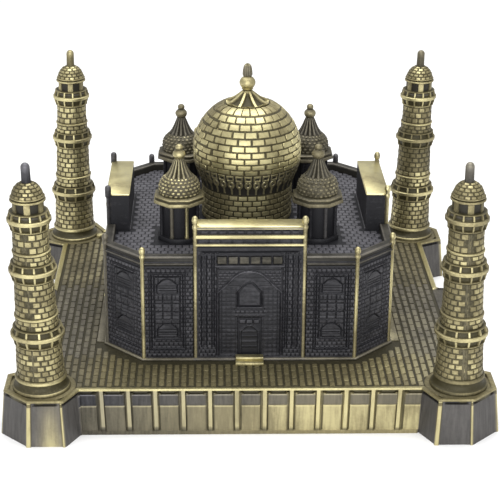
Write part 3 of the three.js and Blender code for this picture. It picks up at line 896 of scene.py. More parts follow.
def tower_cupola(tower):
    """The open room on a tower, with six dark windows, a double eave and a brick cupola."""
    solid = Solid()
    foot = on(TOWER_TOP, (4.6, -0.6, 0), (4.75, -0.3, 0.3), (4.5, 0.1, 0.3), (3.7, 0.2, 0.02))
    tower.turn(solid, foot + [(3.7, 64.1, 0.02), (3.0, 64.3, 0)], tone=0.6)
    place, run = tower.surface((3.7, TOWER_TOP), (3.7, 64.2))
    centres = np.arange(6) * 60 + 2
    cells = [(c - 14.5, c + 14.5, -0.1, run) for c in centres]
    # painted light: window posts towards the tower's lit side are brighter
    wear_and_light = [0.75 * tower.brightness(c, TOWER_TOP) for c in centres]
    blocks(solid, place, cells, high=0.45, sunk=0.3, bevel=(0.12, 0.04), wear_and_light=wear_and_light)
    tower.ring(solid, 4.55, 64.0, 64.7, 0.85)
    tower.ring(solid, 4.4, 64.95, 65.35, 0.75)
    tower.turn(solid, [(3.4, 64.5, 0), (4.1, 64.9, 0.1)] + [(r, z, 0.16) for r, z in CUPOLA]
               + [(0.9, 68.85, 0.2)])
    place, run = tower.surface(*CUPOLA)
    # painted light: cupola blocks towards the tower's lit side are brighter
    cells, wear_and_light = courses((16, 15, 13, 10, 7), run, 0.89, 0.07, 0.93,
                          lambda angle: tower.brightness(angle, TOWER_TOP), (0.7, 1.1))
    blocks(solid, place, cells, high=0.24, bevel=(0.12, 0.14), wear_and_light=wear_and_light)
    solid.make(f"tower_{tower.name}_cupola_cast", CAST, "antique_brass", f"tower_{tower.name}_cupola")


def tower_pin(tower):
    """A round-ended pin with grey plating, which is rubbed off some of them."""
    solid = Solid()
    top = extent(f"tower_{tower.name}_pin")[1][2]
    shank = [(1.2, 67.9, 0.1), (1.22, 69.0, 0.2), (1.17, top - 2.4, 0.3), (1.17, top - PIN_R, 0.55)]
    end = [(PIN_R * math.cos(a), top - PIN_R + PIN_R * math.sin(a), 0.62)
           for a in np.radians([15, 40, 62, 80])]
    tower.turn(solid, shank + end, 28, tower.grey)
    solid.make(f"tower_{tower.name}_pin_plated", PIN, "grey_pin", f"tower_{tower.name}_pin")


def towers():
    """The four corner towers."""
    for tower in TOWERS:
        tower_shaft(tower)
        tower_cupola(tower)
        tower_pin(tower)


# ---- mausoleum walls ----------------------------------------------------------------------
SUNK = 0.25               # a relief's zero level is this far behind the outline of the building
BAY_DEPTH = 1.6           # from a bay's zero level to its flat back


def wall_bay(half, light):
    """One bay beside a portal or on a chamfer: nested borders of small bricks round two niches.
    light is how far the bricks are rubbed through."""
    panel = Panel(half, FLOOR, 40.9, 0.16, 0.0)
    panel.h[:] = -0.2
    top, foot, inner = 38.9, 18.2, half - 3.3
    panel.bricks(-half, half, FLOOR + 0.6, top, 1.3, 1.12, 0.0, light, joint=0.12)
    panel.band(top, top + 0.9, -0.4, 0.03)
    panel.band(top + 0.9, 42, 0.0, 0.12)
    for inset in (1.9, 2.5):
        panel.frame(-half + inset, half - inset, FLOOR + 0.7 + inset, top - inset * 0.6, 0.24, -0.4, 0.0)
    panel.bar(0, inner, foot, top - 2.3, -0.25, 0.0)
    panel.bricks(-inner, inner, foot, top - 2.3, 2.3, 2.2, -0.1, light * 0.7, joint=0.12)
    panel.bricks(-inner, inner, foot + 6, foot + 10.4, 1.1, 0.9, -0.1, light * 0.8, joint=0.12)
    panel.frame(-inner, inner, foot, top - 2.3, 0.3, -0.45, 0.0)
    for z in (foot + 5.8, foot + 8.0, foot + 10.4, foot + 12.9):
        panel.bar(0, inner, z, z + 0.22, -0.35, 0.0)
    for x in (-inner * 0.34, inner * 0.34):
        panel.bar(x, 0.11, foot + 5.8, top - 5.6, -0.35, 0.0)
    for z in (foot + 0.5, foot + 13.4):
        panel.niche(inner - 0.7, z, z + 2.6, z + 4.5, -0.5, 0.0)
        panel.niche(inner - 0.95, z, z + 2.5, z + 4.1, -0.2, light * 0.62)
        for k in range(4):
            panel.bar(0, inner - 1.2, z + 0.7 * k, z + 0.7 * k + 0.2, -0.4, 0.0)
    panel.band(FLOOR, FLOOR + 0.6, 0.0, 0.36)
    return panel


def mausoleum_core():
    """The body behind the panels, with the flat of the roof on top."""
    solid = Solid()
    prism(solid, octagon(1.5), FLOOR - 0.2, ROOF - 0.12, 0.04, 1.0)
    for n in range(4):
        for side in (-1, 1):
            straight_bay(solid, n, side)
        chamfer(solid, n)
    solid.make("mausoleum_walls", PLATED, "dark_patina", "mausoleum_shell", sharp=40)


def face_axes(n):
    """The right and outward directions of a face, n quarter turns from the front."""
    right = np.array(quarter_turn([(1, 0)], n)[0] + (0,), float)
    out = np.array(quarter_turn([(0, -1)], n)[0] + (0,), float)
    return right, out


def straight_bay(solid, n, side):
    """A bay to the left (-1) or right (1) of a portal."""
    right, out = face_axes(n)
    half = (CORNER - PORTAL_HALF - 0.5) / 2
    centre = side * (PORTAL_HALF + 0.7 + half)
    origin = out * (FACE - SUNK) + right * centre
    wall_bay(half, 0.22).close(solid, flat_surface(origin, right, (0, 0, 1)), BAY_DEPTH)


def chamfer(solid, n):
    """The bay on the cut corner to the right of a face."""
    right, out = face_axes(n)
    along = (right - out) / math.sqrt(2)
    outward = (right + out) / math.sqrt(2)
    middle = (right + out) * (FACE + CORNER) / 2
    half = (FACE - CORNER) / math.sqrt(2) - 0.3
    origin = middle - outward * SUNK
    wall_bay(half, 0.3).close(solid, flat_surface(origin, along, (0, 0, 1)), BAY_DEPTH)


PARAPET_MOULDING = [
    (0.7, 39.4, 0), (0.1, 40.0, 0.03), (0.0, 40.1, 0.3), (0.0, 40.35, 0.34), (0.2, 40.5, 0.03),
    (0.4, 40.8, 0.02), (0.4, 41.7, 0.02), (0.1, 41.85, 0.2), (0.0, 42.0, 0.44), (0.05, 42.25, 0.5),
    (0.25, PARAPET, 0.4), (0.5, PARAPET, 0.14), (1.9, PARAPET, 0.13), (2.2, PARAPET, 0.36),
    (2.45, 42.3, 0.4), (2.55, 41.8, 0.03), (2.6, ROOF - 0.3, 0.0), (2.6, 39.4, 0)]


def wall_mouldings():
    """Parapet, cornice and foot moulding in the four corners between the portals."""
    solid = Solid()
    foot = on(FLOOR, (1.0, -0.1, 0), (-0.55, -0.1, 0.1), (-0.55, 0.25, 0.4), (-0.3, 0.45, 0.6),
              (-0.1, 0.5, 0.5), (0.2, 0.55, 0.1), (1.0, 0.55, 0))
    edge = PORTAL_HALF + 0.6
    for n in range(4):
        path = quarter_turn([(edge, -FACE), (CORNER, -FACE), (FACE, -CORNER), (FACE, -edge)], n)
        sweep(solid, path, PARAPET_MOULDING, tone=0.72)
        sweep(solid, path, foot, tone=0.55)
        sweep(solid, quarter_turn([(-edge, -FACE), (edge, -FACE)], n), foot, tone=0.7)
    solid.make("mausoleum_mouldings", PLATED, "dark_patina")


def pilasters():
    """Posts on the eight corners: brass with a knob at the front, plain and dark at the back."""
    solid = Solid()
    plain = on(FLOOR, (0.62, -0.1, 0.2), (0.58, 9, 0.4)) + [
        (0.6, 41.8, 0.3), (0.85, 42.2, 0.2), (0.85, 44.2, 0.35), (0.7, 44.7, 0.4), (0.3, 45.0, 0.4)]
    knobbed = on(FLOOR, (0.65, -0.1, 0.25), (0.7, 0.3, 0.4), (0.5, 0.8, 0.5), (0.5, 9, 0.64),
                 (0.5, 20, 0.72)) + [
        (0.52, 41.6, 0.66), (0.74, 42.0, 0.8), (0.78, 42.4, 0.8), (0.6, 42.8, 0.6), (0.6, 43.0, 0.6),
        (0.82, 43.5, 0.8), (0.85, 44.1, 0.85), (0.7, 44.6, 0.8), (0.35, 44.92, 0.8), (0.1, 45.0, 0.8)]
    for x, y in octagon(0.4):
        if y > 0:
            lathe(solid, plain, 20, at=(x, y), tone=0.95)
        elif x < 2 - FACE:
            lathe(solid, knobbed, 20, at=(x, y), wear_and_light_scale=0.6, tone=0.6)
        else:
            lathe(solid, knobbed, 20, at=(x, y))
    solid.make("mausoleum_pilasters", BRIGHT, "pale_brass")


def roof_is_free(x, y, widest):
    """Whether a roof plate at x, y that reaches out to widest is clear of what stands there."""
    on_portal = (abs(y) > FACE - 6.7 and abs(x) < PORTAL_HALF + 1.2) or \
                (abs(x) > FACE - 7.6 and abs(y) < PORTAL_HALF + 1.2)
    on_kiosk = max(abs(abs(x) - KIOSK_AT), abs(abs(y) - KIOSK_AT)) < KIOSK_ROOM
    on_drum = math.hypot(x, y) < DRUM_R + 1.0
    inside = widest < octagon_reach(y, 1.8) and widest < FACE - 1.8
    return inside and not (on_portal or on_kiosk or on_drum)


def roof_tiles():
    """Small plates in staggered rows on the roof, clear of everything that stands on it."""
    solid = Solid()
    pitch_x, pitch_y = 1.9, 2.05
    cells = []
    rows, count = int(37 / pitch_y), int(40 / pitch_x) + 1
    for row in range(-rows, rows + 1):
        y = row * pitch_y
        shift = pitch_x / 2 if row % 2 else 0.0
        for n in range(-count, count):
            x0 = n * pitch_x + shift
            x1 = x0 + pitch_x * 0.94
            if roof_is_free((x0 + x1) / 2, y, max(abs(x0), abs(x1))):
                cells.append((x0, x1, y - pitch_y * 0.46, y + pitch_y * 0.46))
    place = flat_surface((0, 0, ROOF - 0.12), (1, 0, 0), (0, 1, 0))
    wear_and_light = random.uniform(0.55, 0.72, len(cells))
    blocks(solid, place, cells, high=0.24, bevel=(0.08, 0.08), wear_and_light=wear_and_light, tone=1.0)
    solid.make("mausoleum_roof_tiles", PLATED, "dark_patina")


# ---- portals ------------------------------------------------------------------------------
PORTAL_DEPTH = (5.4, 6.4)                         # front and back, right and left


def portal_face():
    """Front of a portal: rails, a fluted frame, a block frieze, and a pointed recess with a window
    over a doorway."""
    panel = Panel(PORTAL_HALF, FLOOR, 50.6, step=0.2, wear_and_light=0.1)
    panel.band(48.5, 49.8, -0.5, 0.05)
    for n in range(-5, 6):
        panel.bar(n * 2.4, 0.9, 48.6, 49.5, -0.25, 0.2)
    panel.band(49.85, 50.4, 0.1, 0.75, 0.5)
    panel.band(47.35, 48.5, 0.3, 1.0, 0.0)
    panel.band(46.0, 47.3, -0.5, 0.05)
    for n in range(-4, 5):
        panel.bar(n * 3.1, 1.3, 46.1, 47.1, -0.35, 0.14)
    panel.band(45.25, 45.95, 0.2, 0.95, 0.0)
    panel.band(44.8, 45.2, -0.3, 0.04)
    for side in (-1, 1):
        x0, x1 = sorted((side * 9.0, side * 13.6))
        panel.set(panel.rect(x0, x1, FLOOR + 0.6, 43.8), -0.2, 0.0)
        panel.bricks(x0, x1, FLOOR + 0.6, 43.8, 1.15, 1.2, 0.0, 0.22, joint=0.12)
        for x in (8.6, 9.5, 10.1, 11.5, 12.2, 12.9):
            panel.bar(side * x, 0.13, FLOOR + 3.5, 43.6 - (x - 8) * 0.2, -0.35, 0.0)
    for z in (42.9, 43.6):
        panel.bar(0, 12.9, z - 0.12, z + 0.12, -0.35, 0.0)
    for k in range(6):
        x = -8.9 + (k + 0.5) * 17.8 / 6
        panel.frame(x - 1.48, x + 1.48, 39.9, 42.5, 0.25, -0.4, 0.05)
        panel.bar(x, 1.2, 40.2, 42.2, 0.05, 0.22 if 0 < k < 5 else 0.14, 0.6)
    panel.bar(0, 9.2, 39.3, 39.6, 0.1, 0.24)
    panel.bar(0, 8.9, 38.3, 38.6, -0.45, 0.02)
    panel.bar(0, 8.6, 31.6, 38.3, -0.3, 0.0)
    panel.bricks(-8.4, 8.4, 31.8, 38.2, 1.2, 0.8, -0.12, 0.22, joint=0.12)
    panel.niche(9.0, FLOOR + 1, 32.2, 38.6, -0.3, 0.04)
    panel.niche(8.7, FLOOR + 1, 32.0, 38.2, 0.1, 0.36)
    panel.niche(8.3, FLOOR + 1, 31.9, 37.75, -0.9, 0.0)
    portal_recess(panel)
    panel.band(FLOOR, FLOOR + 0.55, 0.1, 0.4)
    return panel


def portal_recess(panel):
    """What is set back inside the arch: a grid, a window, a row of blocks and the doorway."""
    arch = panel.arch(8.1, FLOOR + 1, 31.8, 37.4)
    panel.set(arch, -0.75, 0.13)
    for k in range(20):
        z = FLOOR + 1.6 + k * 1.15
        panel.set(panel.rect(-8.2, 8.2, z, z + 0.2) * arch, -0.85, 0.05)
    for k in range(-6, 7):
        panel.set(panel.rect(k * 1.25 - 0.1, k * 1.25 + 0.1, FLOOR + 1, 33) * arch, -0.88, 0.02)
    panel.niche(3.7, 27.1, 32.0, 35.4, -0.55, 0.17)
    panel.niche(3.3, 27.4, 31.9, 34.8, -1.15, 0.0)
    panel.niche(2.85, 27.8, 31.6, 34.1, -0.85, 0.15)
    panel.bar(0, 4.0, 26.5, 27.0, -1.1, 0.0)
    panel.bricks(-4.2, 4.2, 24.6, 26.4, 1.2, 0.85, -0.6, 0.2)
    panel.bar(0, 3.2, FLOOR + 0.8, 24.3, -1.1, 0.02)
    for x in (-1.9, 0.0, 1.9):
        panel.bar(x, 0.8, 22.6, 23.6, -0.75, 0.2)
    panel.niche(2.7, FLOOR + 0.8, 20.4, 22.2, -0.85, 0.13)
    panel.niche(2.2, FLOOR + 0.8, 20.2, 21.6, -1.15, 0.0)
    for k in range(4):
        panel.bar(0, 2.0, 20.0 - k * 1.5, 20.0 - k * 1.5 + 0.3, -0.95, 0.2 - 0.03 * k)


def portal_post(solid, at, top, plain):
    """A post at the end of a portal: brass with a knob, or plain and dark."""
    if plain:
        profile = on(FLOOR, (0.6, -0.1, 0.2), (0.55, 8, 0.35)) + [
            (0.55, 50.0, 0.3), (0.85, 50.4, 0.2), (0.88, 52.9, 0.35), (0.7, 53.4, 0.4), (0.1, top, 0.4)]
    else:
        profile = on(FLOOR, (0.65, -0.1, 0.2), (0.7, 0.3, 0.3), (0.52, 0.6, 0.34), (0.52, 8, 0.48),
                     (0.52, 20, 0.64)) + [
            (0.55, 49.6, 0.66), (0.72, 50.1, 0.7), (0.78, 50.8, 0.75), (0.6, 51.1, 0.6), (0.6, 51.4, 0.6),
            (0.85, 51.9, 0.78), (0.9, 52.6, 0.8), (0.75, 53.2, 0.8), (0.4, 53.6, 0.8), (0.1, top, 0.8)]
    lathe(solid, profile, 20, at=at, tone=0.95 if plain else 0.1)


def portals():
    """The four portals: relief in front, plain back, brass coping, and a post at each end."""
    for n, side in enumerate(SIDES):
        right, out = face_axes(n)
        solid = Solid()
        place = flat_surface(out * (FACE - SUNK), right, (0, 0, 1))
        portal_face().close(solid, place, PORTAL_DEPTH[n % 2] - SUNK)
        back = -(FACE - PORTAL_DEPTH[n % 2])
        box(solid, (-PORTAL_HALF, -FACE + 0.05, 50.45), (PORTAL_HALF, back + 0.1, PORTAL_TOP), 0.2,
            wear_and_light=0.85, turn=n)
        box(solid, (-PORTAL_HALF, back - 0.2, ROOF - 0.2), (PORTAL_HALF, back + 0.25, ROOF + 0.7), 0.15,
            wear_and_light=0.35, tone=1, turn=n)
        for sx in (-1, 1):
            at = quarter_turn([(sx * PORTAL_HALF, 0.6 - FACE)], n)[0]
            portal_post(solid, at, extent(f"portal_{side}")[1][2], side == "left")
        solid.make(f"portal_{side}_cast", PLATED, "dark_patina", f"portal_{side}", sharp=40)
        if side in ("front", "back"):
            door_step(n, side)


def door_step(n, side):
    """Two low steps in front of a portal."""
    solid = Solid()
    low, high = extent("door_step_front")
    half, front = high[0], -low[1]
    box(solid, (-half, -front, FLOOR - 0.2), (half, -FACE + 0.1, FLOOR + 0.8), 0.12, wear_and_light=0.75,
        turn=n)
    box(solid, (-half + 0.05, -front + 1.8, FLOOR + 0.7), (half - 0.05, -FACE + 0.1, high[2]), 0.12,
        wear_and_light=0.75, turn=n)
    solid.make(f"door_step_{side}_cast", BRIGHT, "antique_brass", f"door_step_{side}")


# ---- kiosks -------------------------------------------------------------------------------
class Kiosk:
    """One kiosk on the roof. level is its brightness, lit the angle that faces the light, where its
    painted light is brightest, tone its share of plating, and strips the wear and tone of the
    brighter strips on its corners, by their number."""

    def __init__(self, name, level, lit, tone, strips):
        sx, sy = CORNERS[name]
        self.name, self.at = name, (sx * KIOSK_AT, sy * KIOSK_AT)
        self.level, self.lit, self.tone, self.strips = level, lit, tone, strips

    # painted light: highest on the side towards lit, falling off round to the back
    def brightness(self, angle):
        return self.level * (0.56 + 0.34 * np.cos(np.radians(angle - self.lit)))


KIOSKS = [Kiosk("front_left", 1.0, -40, 0.1, {0: (0.85, 0.0), 7: (0.5, 0.6)}),
          Kiosk("front_right", 0.62, 40, 0.3, {0: (0.3, 0.9)}),
          Kiosk("back_left", 0.72, 15, 0.4, {0: (0.3, 0.9)}),
          Kiosk("back_right", 0.68, -10, 0.4, {0: (0.3, 0.9)})]
KIOSK_BELLY = [(5.25, 53.2), (5.45, 54.0), (5.45, 55.2), (5.25, 56.1), (4.8, 56.95), (4.2, 57.6),
               (3.5, 58.1)]
KIOSK_PETALS = [(3.1, 57.8), (3.4, 58.15), (3.1, 58.6), (2.75, 59.1), (2.45, 59.7), (2.15, 60.4),
                (1.9, 61.0), (1.55, 62.0), (1.15, 63.0)]


def to_corners(apothem):
    """Distance to the corners of an octagon, from the distance to its sides."""
    return apothem / math.cos(math.pi / 8)


def eight_sided(solid, kiosk, profile, tone, shade=None):
    """A body with eight upright corners from [distance to the sides, height, wear] points."""
    profile = [(to_corners(apothem), z, wear_and_light) for apothem, z, wear_and_light in profile]
    lathe(solid, profile, 8, kiosk.at, phase=22.5, tone=tone, shade=shade)


def kiosk_body(kiosk):
    """Foot block, dark room with a strip on each corner, and an eave in two tiers."""
    solid = Solid()
    eight_sided(solid, kiosk, on(ROOF, (5.85, -0.2, 0.02), (5.9, 1.0, 0.04), (5.75, 1.2, 0.08),
                                 (4.9, 1.25, 0.02)), tone=1)
    eight_sided(solid, kiosk, [(4.85, ROOF + 1.0, 0.02), (4.85, 51.2, 0.02)], tone=1)
    strip = on(ROOF, (0.6, 1.1, 0.3), (0.62, 1.6, 0.5), (0.48, 2.0, 0.8)) + [
        (0.48, 46, 1), (0.48, 50.2, 1), (0.62, 50.8, 0.8), (0.6, 51.3, 0.6)]
    for k in range(8):
        angle = math.radians(22.5 + 45 * k)
        x = kiosk.at[0] + to_corners(4.9) * math.sin(angle)
        y = kiosk.at[1] - to_corners(4.9) * math.cos(angle)
        shine, plated = kiosk.strips.get(k, (0.1, 1.0))
        lathe(solid, strip, 14, (x, y), wear_and_light_scale=shine, tone=plated)
    eave = [(5.2, 50.4, 0.02), (6.5, 50.9, 0.1), (6.9, 51.1, 0.7), (6.95, 51.5, 0.9), (6.85, 51.95, 0.8),
            (6.65, 52.05, 0.3), (6.4, 52.1, 0.03), (6.35, 52.5, 0.03), (6.55, 52.6, 0.5),
            (6.6, 52.85, 0.8), (6.4, 53.05, 0.5), (5.5, 53.35, 0.1)]
    # painted light on the eave, brighter towards the lit side
    eight_sided(solid, kiosk, eave, kiosk.tone, kiosk.brightness)
    solid.make(f"kiosk_{kiosk.name}_room", CAST, "antique_brass", f"kiosk_{kiosk.name}")


def kiosk_dome(kiosk):
    """Rows of beads round the belly, ribbed petals up to the neck, and a small finial."""
    solid = Solid()
    belly = [(4.6, 53.0, 0)] + [(r, z, 0.2) for r, z in KIOSK_BELLY] + [(2.7, 58.3, 0.2)]
    lathe(solid, belly, 56, kiosk.at, tone=0.4)
    place, run = turned_surface(KIOSK_BELLY, kiosk.at)
    # painted light on the beads, brighter towards the lit side
    cells, wear_and_light = courses([24] * 6, run, 0.84, 0.12, 0.9, kiosk.brightness, (0.6, 1.15), jitter=0.8)
    blocks(solid, place, cells, high=0.32, bevel=(0.24, 0.26), wear_and_light=np.clip(wear_and_light, 0, 1.0),
           tone=kiosk.tone)
    place, run = turned_surface(KIOSK_PETALS, kiosk.at)

    def ridge(angle):
        """1 on the crest of a petal's rib, and 0 between petals."""
        return np.abs(np.cos(np.radians(angle * 7 + 10)))

    def height(angle, along):
        taper = 1 - 0.75 * along / run
        return (ridge(angle) - 0.6) * 0.8 * taper

    # rubbed rib crests, with painted light brighter towards the lit side
    def wear_and_light_of(angle, along):
        return np.clip(ridge(angle) * 1.7 - 0.85, 0.08, 1) * kiosk.brightness(angle)

    relief_band(solid, place, np.linspace(0, run, 20), 140, height, wear_and_light_of,
                tone=even(min(1, kiosk.tone + 0.2)))
    tip = [(0.9, 62.6, 0), (1.0, 63.0, 0.2), (1.3, 63.2, 0.6), (1.62, 63.7, 0.85), (1.75, 64.2, 0.9),
           (1.6, 64.8, 0.85), (1.1, 65.3, 0.4), (0.85, 65.6, 0.1), (0.95, 65.8, 0.6), (1.0, 66.1, 0.8),
           (0.9, 66.6, 0.8), (0.5, 66.93, 0.8), (0.15, 67.0, 0.8)]
    lathe(solid, tip, 28, kiosk.at, wear_and_light_scale=0.82 * kiosk.level, tone=kiosk.tone * 0.7)
    solid.make(f"kiosk_{kiosk.name}_dome", CAST, "antique_brass")


def kiosks():
    """The four kiosks round the dome."""
    for kiosk in KIOSKS:
        kiosk_body(kiosk)
        kiosk_dome(kiosk)


# ---- drum, dome, cap and finial -----------------------------------------------------------
SEAM = -42                # angle of the mould seam on the dome
SPHERE_FOOT = -34         # elevation at which the sphere starts, in degrees
COURSES = 10              # of bricks on the dome, 24 in each
BAND_PITCH = 10.0         # degrees from unit to unit of the keyhole band
BAND_RELIEF = 0.34
SCALLOP_RUN = 1.3         # where the cap's scallops are deepest, along its surface from the foot


def signed(angle):
    """The same angle, between -180 and 180."""
    return (angle + 180) % 360 - 180


def drum_brightness(angle):
    """A painted highlight: a bright spot on the front of the drum, where it faces the lamps."""
    return 0.42 + 0.8 * math.exp(-(signed(angle + 5) / 26) ** 2)


def drum():
    """The round wall under the dome, with bricks between the roof and the dome's foot."""
    solid = Solid()
    radius = DRUM_R - MORTAR
    lathe(solid, [(radius, ROOF - 0.2, 0.03), (radius, DRUM_TOP, 0.03)], 90, tone=0.2)
    place, run = turned_surface([(radius, ROOF), (radius, DRUM_TOP - 0.1)])
    # painted highlight on the front bricks, from drum_brightness
    cells, wear_and_light = courses([30] * 6, run, 0.92, 0.06, 0.94, drum_brightness, (0.82, 1.1), start=-6)
    blocks(solid, place, cells, high=MORTAR, bevel=(0.07, 0.12), wear_and_light=wear_and_light)
    solid.make("dome_drum_brickwork", CAST, "antique_brass", "dome_drum")


def dome_brightness(angle):
    """Painted light: brightest just right of the front, facing the lamps, and darker round the
    sides; duller past the mould seam on the left.
    """
    return (0.78 + 0.22 * math.cos(math.radians(angle - 8))) * (0.86 if angle < SEAM else 1.0)


def course_angle(i):
    """Elevation of the joint under course i of the dome, in degrees above its widest line."""
    return -12.7 + 6.05 * i + 0.0135 * i ** 3


def dome():
    """A brick sphere that flattens out under the cap; the bricks left of the seam are ragged."""
    solid = Solid()
    inner = DOME_R - 0.3
    angles = np.radians(np.linspace(SPHERE_FOOT, 57, 56))
    sphere = [(inner * math.cos(a), DOME_Z + inner * math.sin(a)) for a in angles]
    sphere += [(7.4, 72.72), (6.7, 72.9), (6.0, 72.98)]
    lathe(solid, [(9, DRUM_TOP + 0.3, 0)] + [(r, z, 0.14) for r, z in sphere]
          + [(4, CAP_FOOT - 0.1, 0)], 120)
    place, run = turned_surface(sphere)
    joints = [math.radians(course_angle(row) - SPHERE_FOOT) * inner for row in range(COURSES)] + [run]
    cells, wear_and_light = [], []
    for row in range(COURSES):
        low, high = joints[row], joints[row + 1]
        joint = min(0.16, 0.06 * (high - low))
        for n in range(24):
            left = (n + 0.5 * (row % 2)) * 15 - 3.5 + random.uniform(-0.5, 0.5)
            middle = signed(left + 7)
            ragged = SEAM - 40 < middle < SEAM
            shift = random.uniform(-0.3, 0.3) if ragged else 0.0
            width = random.uniform(11.5, 14.2) if ragged else 14.1
            cells.append((left, left + width, low + joint + shift, high - joint + shift * 0.5))
            # painted light round the dome from dome_brightness; lift makes lower courses brighter than
            # upper ones
            lift = 1.12 - 0.034 * row
            wear_and_light.append(dome_brightness(middle) * lift * random.uniform(0.85, 1.1))
    blocks(solid, place, cells, high=0.3, bevel=(0.06, 0.1), wear_and_light=np.clip(wear_and_light, 0, 1.0))
    seam_line(solid, place, SEAM, 4, joints[COURSES - 1])
    solid.make("main_dome_brickwork", CAST, "antique_brass", "main_dome")


def keyhole_band():
    """The open band round the foot of the dome: a pierced block, a ring and a stem, 36 times."""
    solid = Solid()
    arc = [(12.95, DRUM_TOP - 0.05), (13.05, 50.4), (13.2, 51), (13.45, 51.75), (13.75, 52.5),
           (14.05, 53.25), (14.35, 54), (14.62, 54.7), (14.85, 55.4), (15.0, 56.25)]
    place, run = turned_surface([(r - BAND_RELIEF, z) for r, z in arc])

    def shape(angle, along):
        """1 on the metal of a unit and 0 in the openings. x is the distance from the middle of
        the unit, and down the distance under the top of the band."""
        x = ((angle + BAND_PITCH / 2) % BAND_PITCH - BAND_PITCH / 2) * math.pi / 180 * 14.0
        down = run - along
        ring = np.abs(np.hypot(x, (down - 3.25) * 0.76) - 0.68) - 0.34
        stem = np.maximum(np.abs(x) - 0.3, np.abs(down - 5.4) - 1.1)
        block = np.maximum(np.abs(x) - 0.98, np.abs(down - 1.0) - 0.95)
        hole = np.minimum(0.6 - np.abs(x), 0.36 - np.abs(down - 1.05))
        block = np.maximum(block, hole)
        return np.clip(-np.minimum(np.minimum(ring, stem), block) / 0.14 + 0.5, 0, 1)

    def height(angle, along):
        return BAND_RELIEF * shape(angle, along)

    def wear_and_light(angle, along):
        # painted light: units towards the front, facing the lamps, are brighter; the band is also darker
        # towards its foot
        front = np.exp(-(signed(angle + 3) / 36) ** 4)
        fade = np.interp(along, [0, run], [0.75, 1.0])
        return shape(angle, along) * (0.3 + 0.85 * front) * fade

    def tone(angle, along):
        return 0.7 * (1 - shape(angle, along))

    relief_band(solid, place, np.linspace(0, run, 52), 720, height, wear_and_light, tone)
    solid.make("dome_keyhole_band", CAST, "antique_brass")


def cap():
    """The lotus cap: eight pale ribs with dark hollows between them and a scalloped rim."""
    solid = Solid()
    heights = [(4.6, 0), (6.05, 0.02), (6.25, 0.22), (5.7, 0.45), (4.7, 0.95), (3.8, 1.5), (2.9, 2.2),
               (2.1, 2.85), (1.5, 3.35)]
    place, run = turned_surface([(r, CAP_FOOT + z) for r, z in heights] + [(1.4, CAP_TOP)])

    def rib(angle, along):
        """1 on a rib and 0 in the hollow beside it; the ribs close up towards the neck."""
        across = np.abs(angle % 45 - 22.5) * math.pi / 180 * np.interp(along, [1.5, run], [5.6, 1.5])
        return np.clip((0.42 - across) / 0.2 + 0.5, 0, 1)

    def lip(along):
        """1 on the rim and 0 above it."""
        return np.clip((1.75 - along) / 0.25 + 0.5, 0, 1)

    def height(angle, along):
        hollow = (1 - rib(angle, along)) * (1 - lip(along)) * np.clip((run - along) / 1.2, 0, 1)
        edge = np.exp(-((along - SCALLOP_RUN) / 0.7) ** 2)
        scallop = edge * np.abs(np.sin(np.radians(angle * 4))) ** 0.7
        return -0.8 * hollow - 0.5 * (edge - scallop)

    def wear_and_light(angle, along):
        neck = np.clip((along - run + 0.7) / 0.3, 0, 1) * 0.6
        raised = np.maximum(np.maximum(rib(angle, along), lip(along)), neck)
        return np.clip(0.8 * raised + 0.02, 0, 1)

    relief_band(solid, place, np.linspace(0, run, 44), 360, height, wear_and_light)
    solid.make("lotus_cap_cast", CAST, "pale_brass", "lotus_cap")


def finial():
    """A smooth ball on the cap, under a slim bud with twelve flutes."""
    solid = Solid()
    ball = on(CAP_TOP, (1.15, -0.2, 0.1), (1.2, 0.1, 0.2), (1.7, 0.5, 0.8))
    ball += [(2.25 * math.cos(a), 78.9 + 1.95 * math.sin(a), 0.78)
             for a in np.radians(np.linspace(-50, 60, 12))]
    lathe(solid, ball + [(1.0, 80.75, 0.3), (0.9, 80.8, 0.1)], 40)
    place, run = turned_surface([(1.0, 80.6), (1.3, 80.85), (1.42, 81.3), (1.35, 82.2), (1.22, 83.0),
                                 (1.05, 83.7), (0.6, 84.25), (0.15, TIP)])

    def flute(angle):
        return np.cos(np.radians(angle * 12))

    def height(angle, along):
        return 0.09 * (flute(angle) - 1)

    def wear_and_light(angle, along):
        return 0.42 + 0.12 * flute(angle) + 0.3 * (along > run * 0.75)

    relief_band(solid, place, np.linspace(0, run, 16), 96, height, wear_and_light, tone=even(0.45))
    solid.make("dome_finial_cast", CAST, "pale_brass", "dome_finial")


# ---- inner parts, which keep their CAD shape ----------------------------------------------
def inner_parts():
    """Steel for the screws, the stud, its nut and the base plate, and felt under the plate."""
    for name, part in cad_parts.items():
        steel = "screw" in name or name in ("dome_stud", "dome_nut", "base_plate")
        if steel or name == "base_felt":
            part.data.materials.clear()
            part.data.materials.append(STEEL if steel else FELT)


# ---- floor, light and camera --------------------------------------------------------------
WHITE_PAPER = rgb(0.9, 0.9, 0.9)
AMBIENT = 0.66
EYE = Vector((-10.67, -419.13, 197.34)) * MM
VIEW = Vector((0.023607, 0.927306, -0.373559))
ROLL = math.radians(0.399)


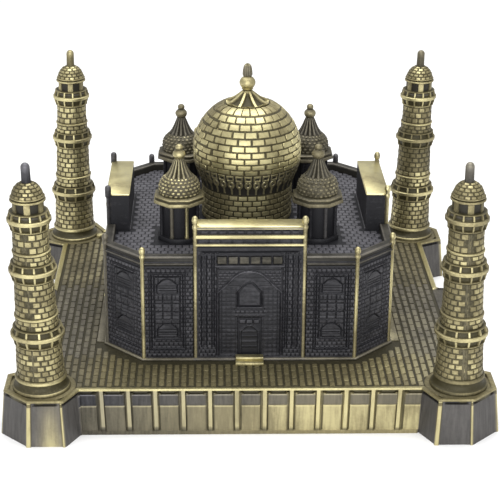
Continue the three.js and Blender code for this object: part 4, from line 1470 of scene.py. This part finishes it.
def surroundings():
    """A white floor, even white light from all round, and two large soft lamps."""
    bpy.ops.mesh.primitive_plane_add(size=6)
    ground = bpy.context.object
    ground.name = "studio_floor"
    paper, _, shader, _ = new_material("white_paper")
    shader.inputs["Base Color"].default_value = WHITE_PAPER
    shader.inputs["Roughness"].default_value = 0.9
    ground.data.materials.append(paper)
    world = bpy.data.worlds.new("studio")
    world.use_nodes = True
    background = world.node_tree.nodes["Background"].inputs
    background["Color"].default_value = rgb(1.0, 1.0, 1.0)
    background["Strength"].default_value = AMBIENT
    bpy.context.scene.world = world
    bpy.context.scene.view_settings.view_transform = "Standard"
    softbox("top_light", place=(0.0, 0.05, 0.6), target=(0, 0, 0.03), size=0.6, power=4.0)
    softbox("front_light", place=(-0.04, -0.75, 0.12), target=(0, 0, 0.04), size=0.85, power=6.6)


def softbox(name, place, target, size, power):
    """A square lamp in metres and watts, turned to its target."""
    lamp = bpy.data.lights.new(name, "AREA")
    lamp.shape = "SQUARE"
    lamp.size = size
    lamp.energy = power
    holder = bpy.data.objects.new(name, lamp)
    holder.location = place
    holder.rotation_euler = (Vector(target) - Vector(place)).to_track_quat("-Z", "Y").to_euler()
    bpy.context.scene.collection.objects.link(holder)


def camera():
    """A long lens in front of the model, looking down at it by about 22 degrees."""
    forward = VIEW.normalized()
    level = forward.cross(Vector((0, 0, 1))).normalized()
    upright = level.cross(forward)
    right = level * math.cos(ROLL) + upright * math.sin(ROLL)
    up = upright * math.cos(ROLL) - level * math.sin(ROLL)
    data = bpy.data.cameras.new("camera")
    data.sensor_width = 36
    data.lens = 111.87
    data.shift_x = 0.0073
    data.clip_start, data.clip_end = 0.02, 20
    holder = bpy.data.objects.new("camera", data)
    rows = [(right[k], up[k], -forward[k], EYE[k]) for k in range(3)]
    holder.matrix_world = Matrix(rows + [(0, 0, 0, 1)])
    bpy.context.scene.collection.objects.link(holder)
    bpy.context.scene.camera = holder


camera()
surroundings()
terrace_wall()
paving()
bastion_tops()
towers()
mausoleum_core()
wall_mouldings()
pilasters()
roof_tiles()
portals()
kiosks()
drum()
dome()
keyhole_band()
cap()
finial()
inner_parts()
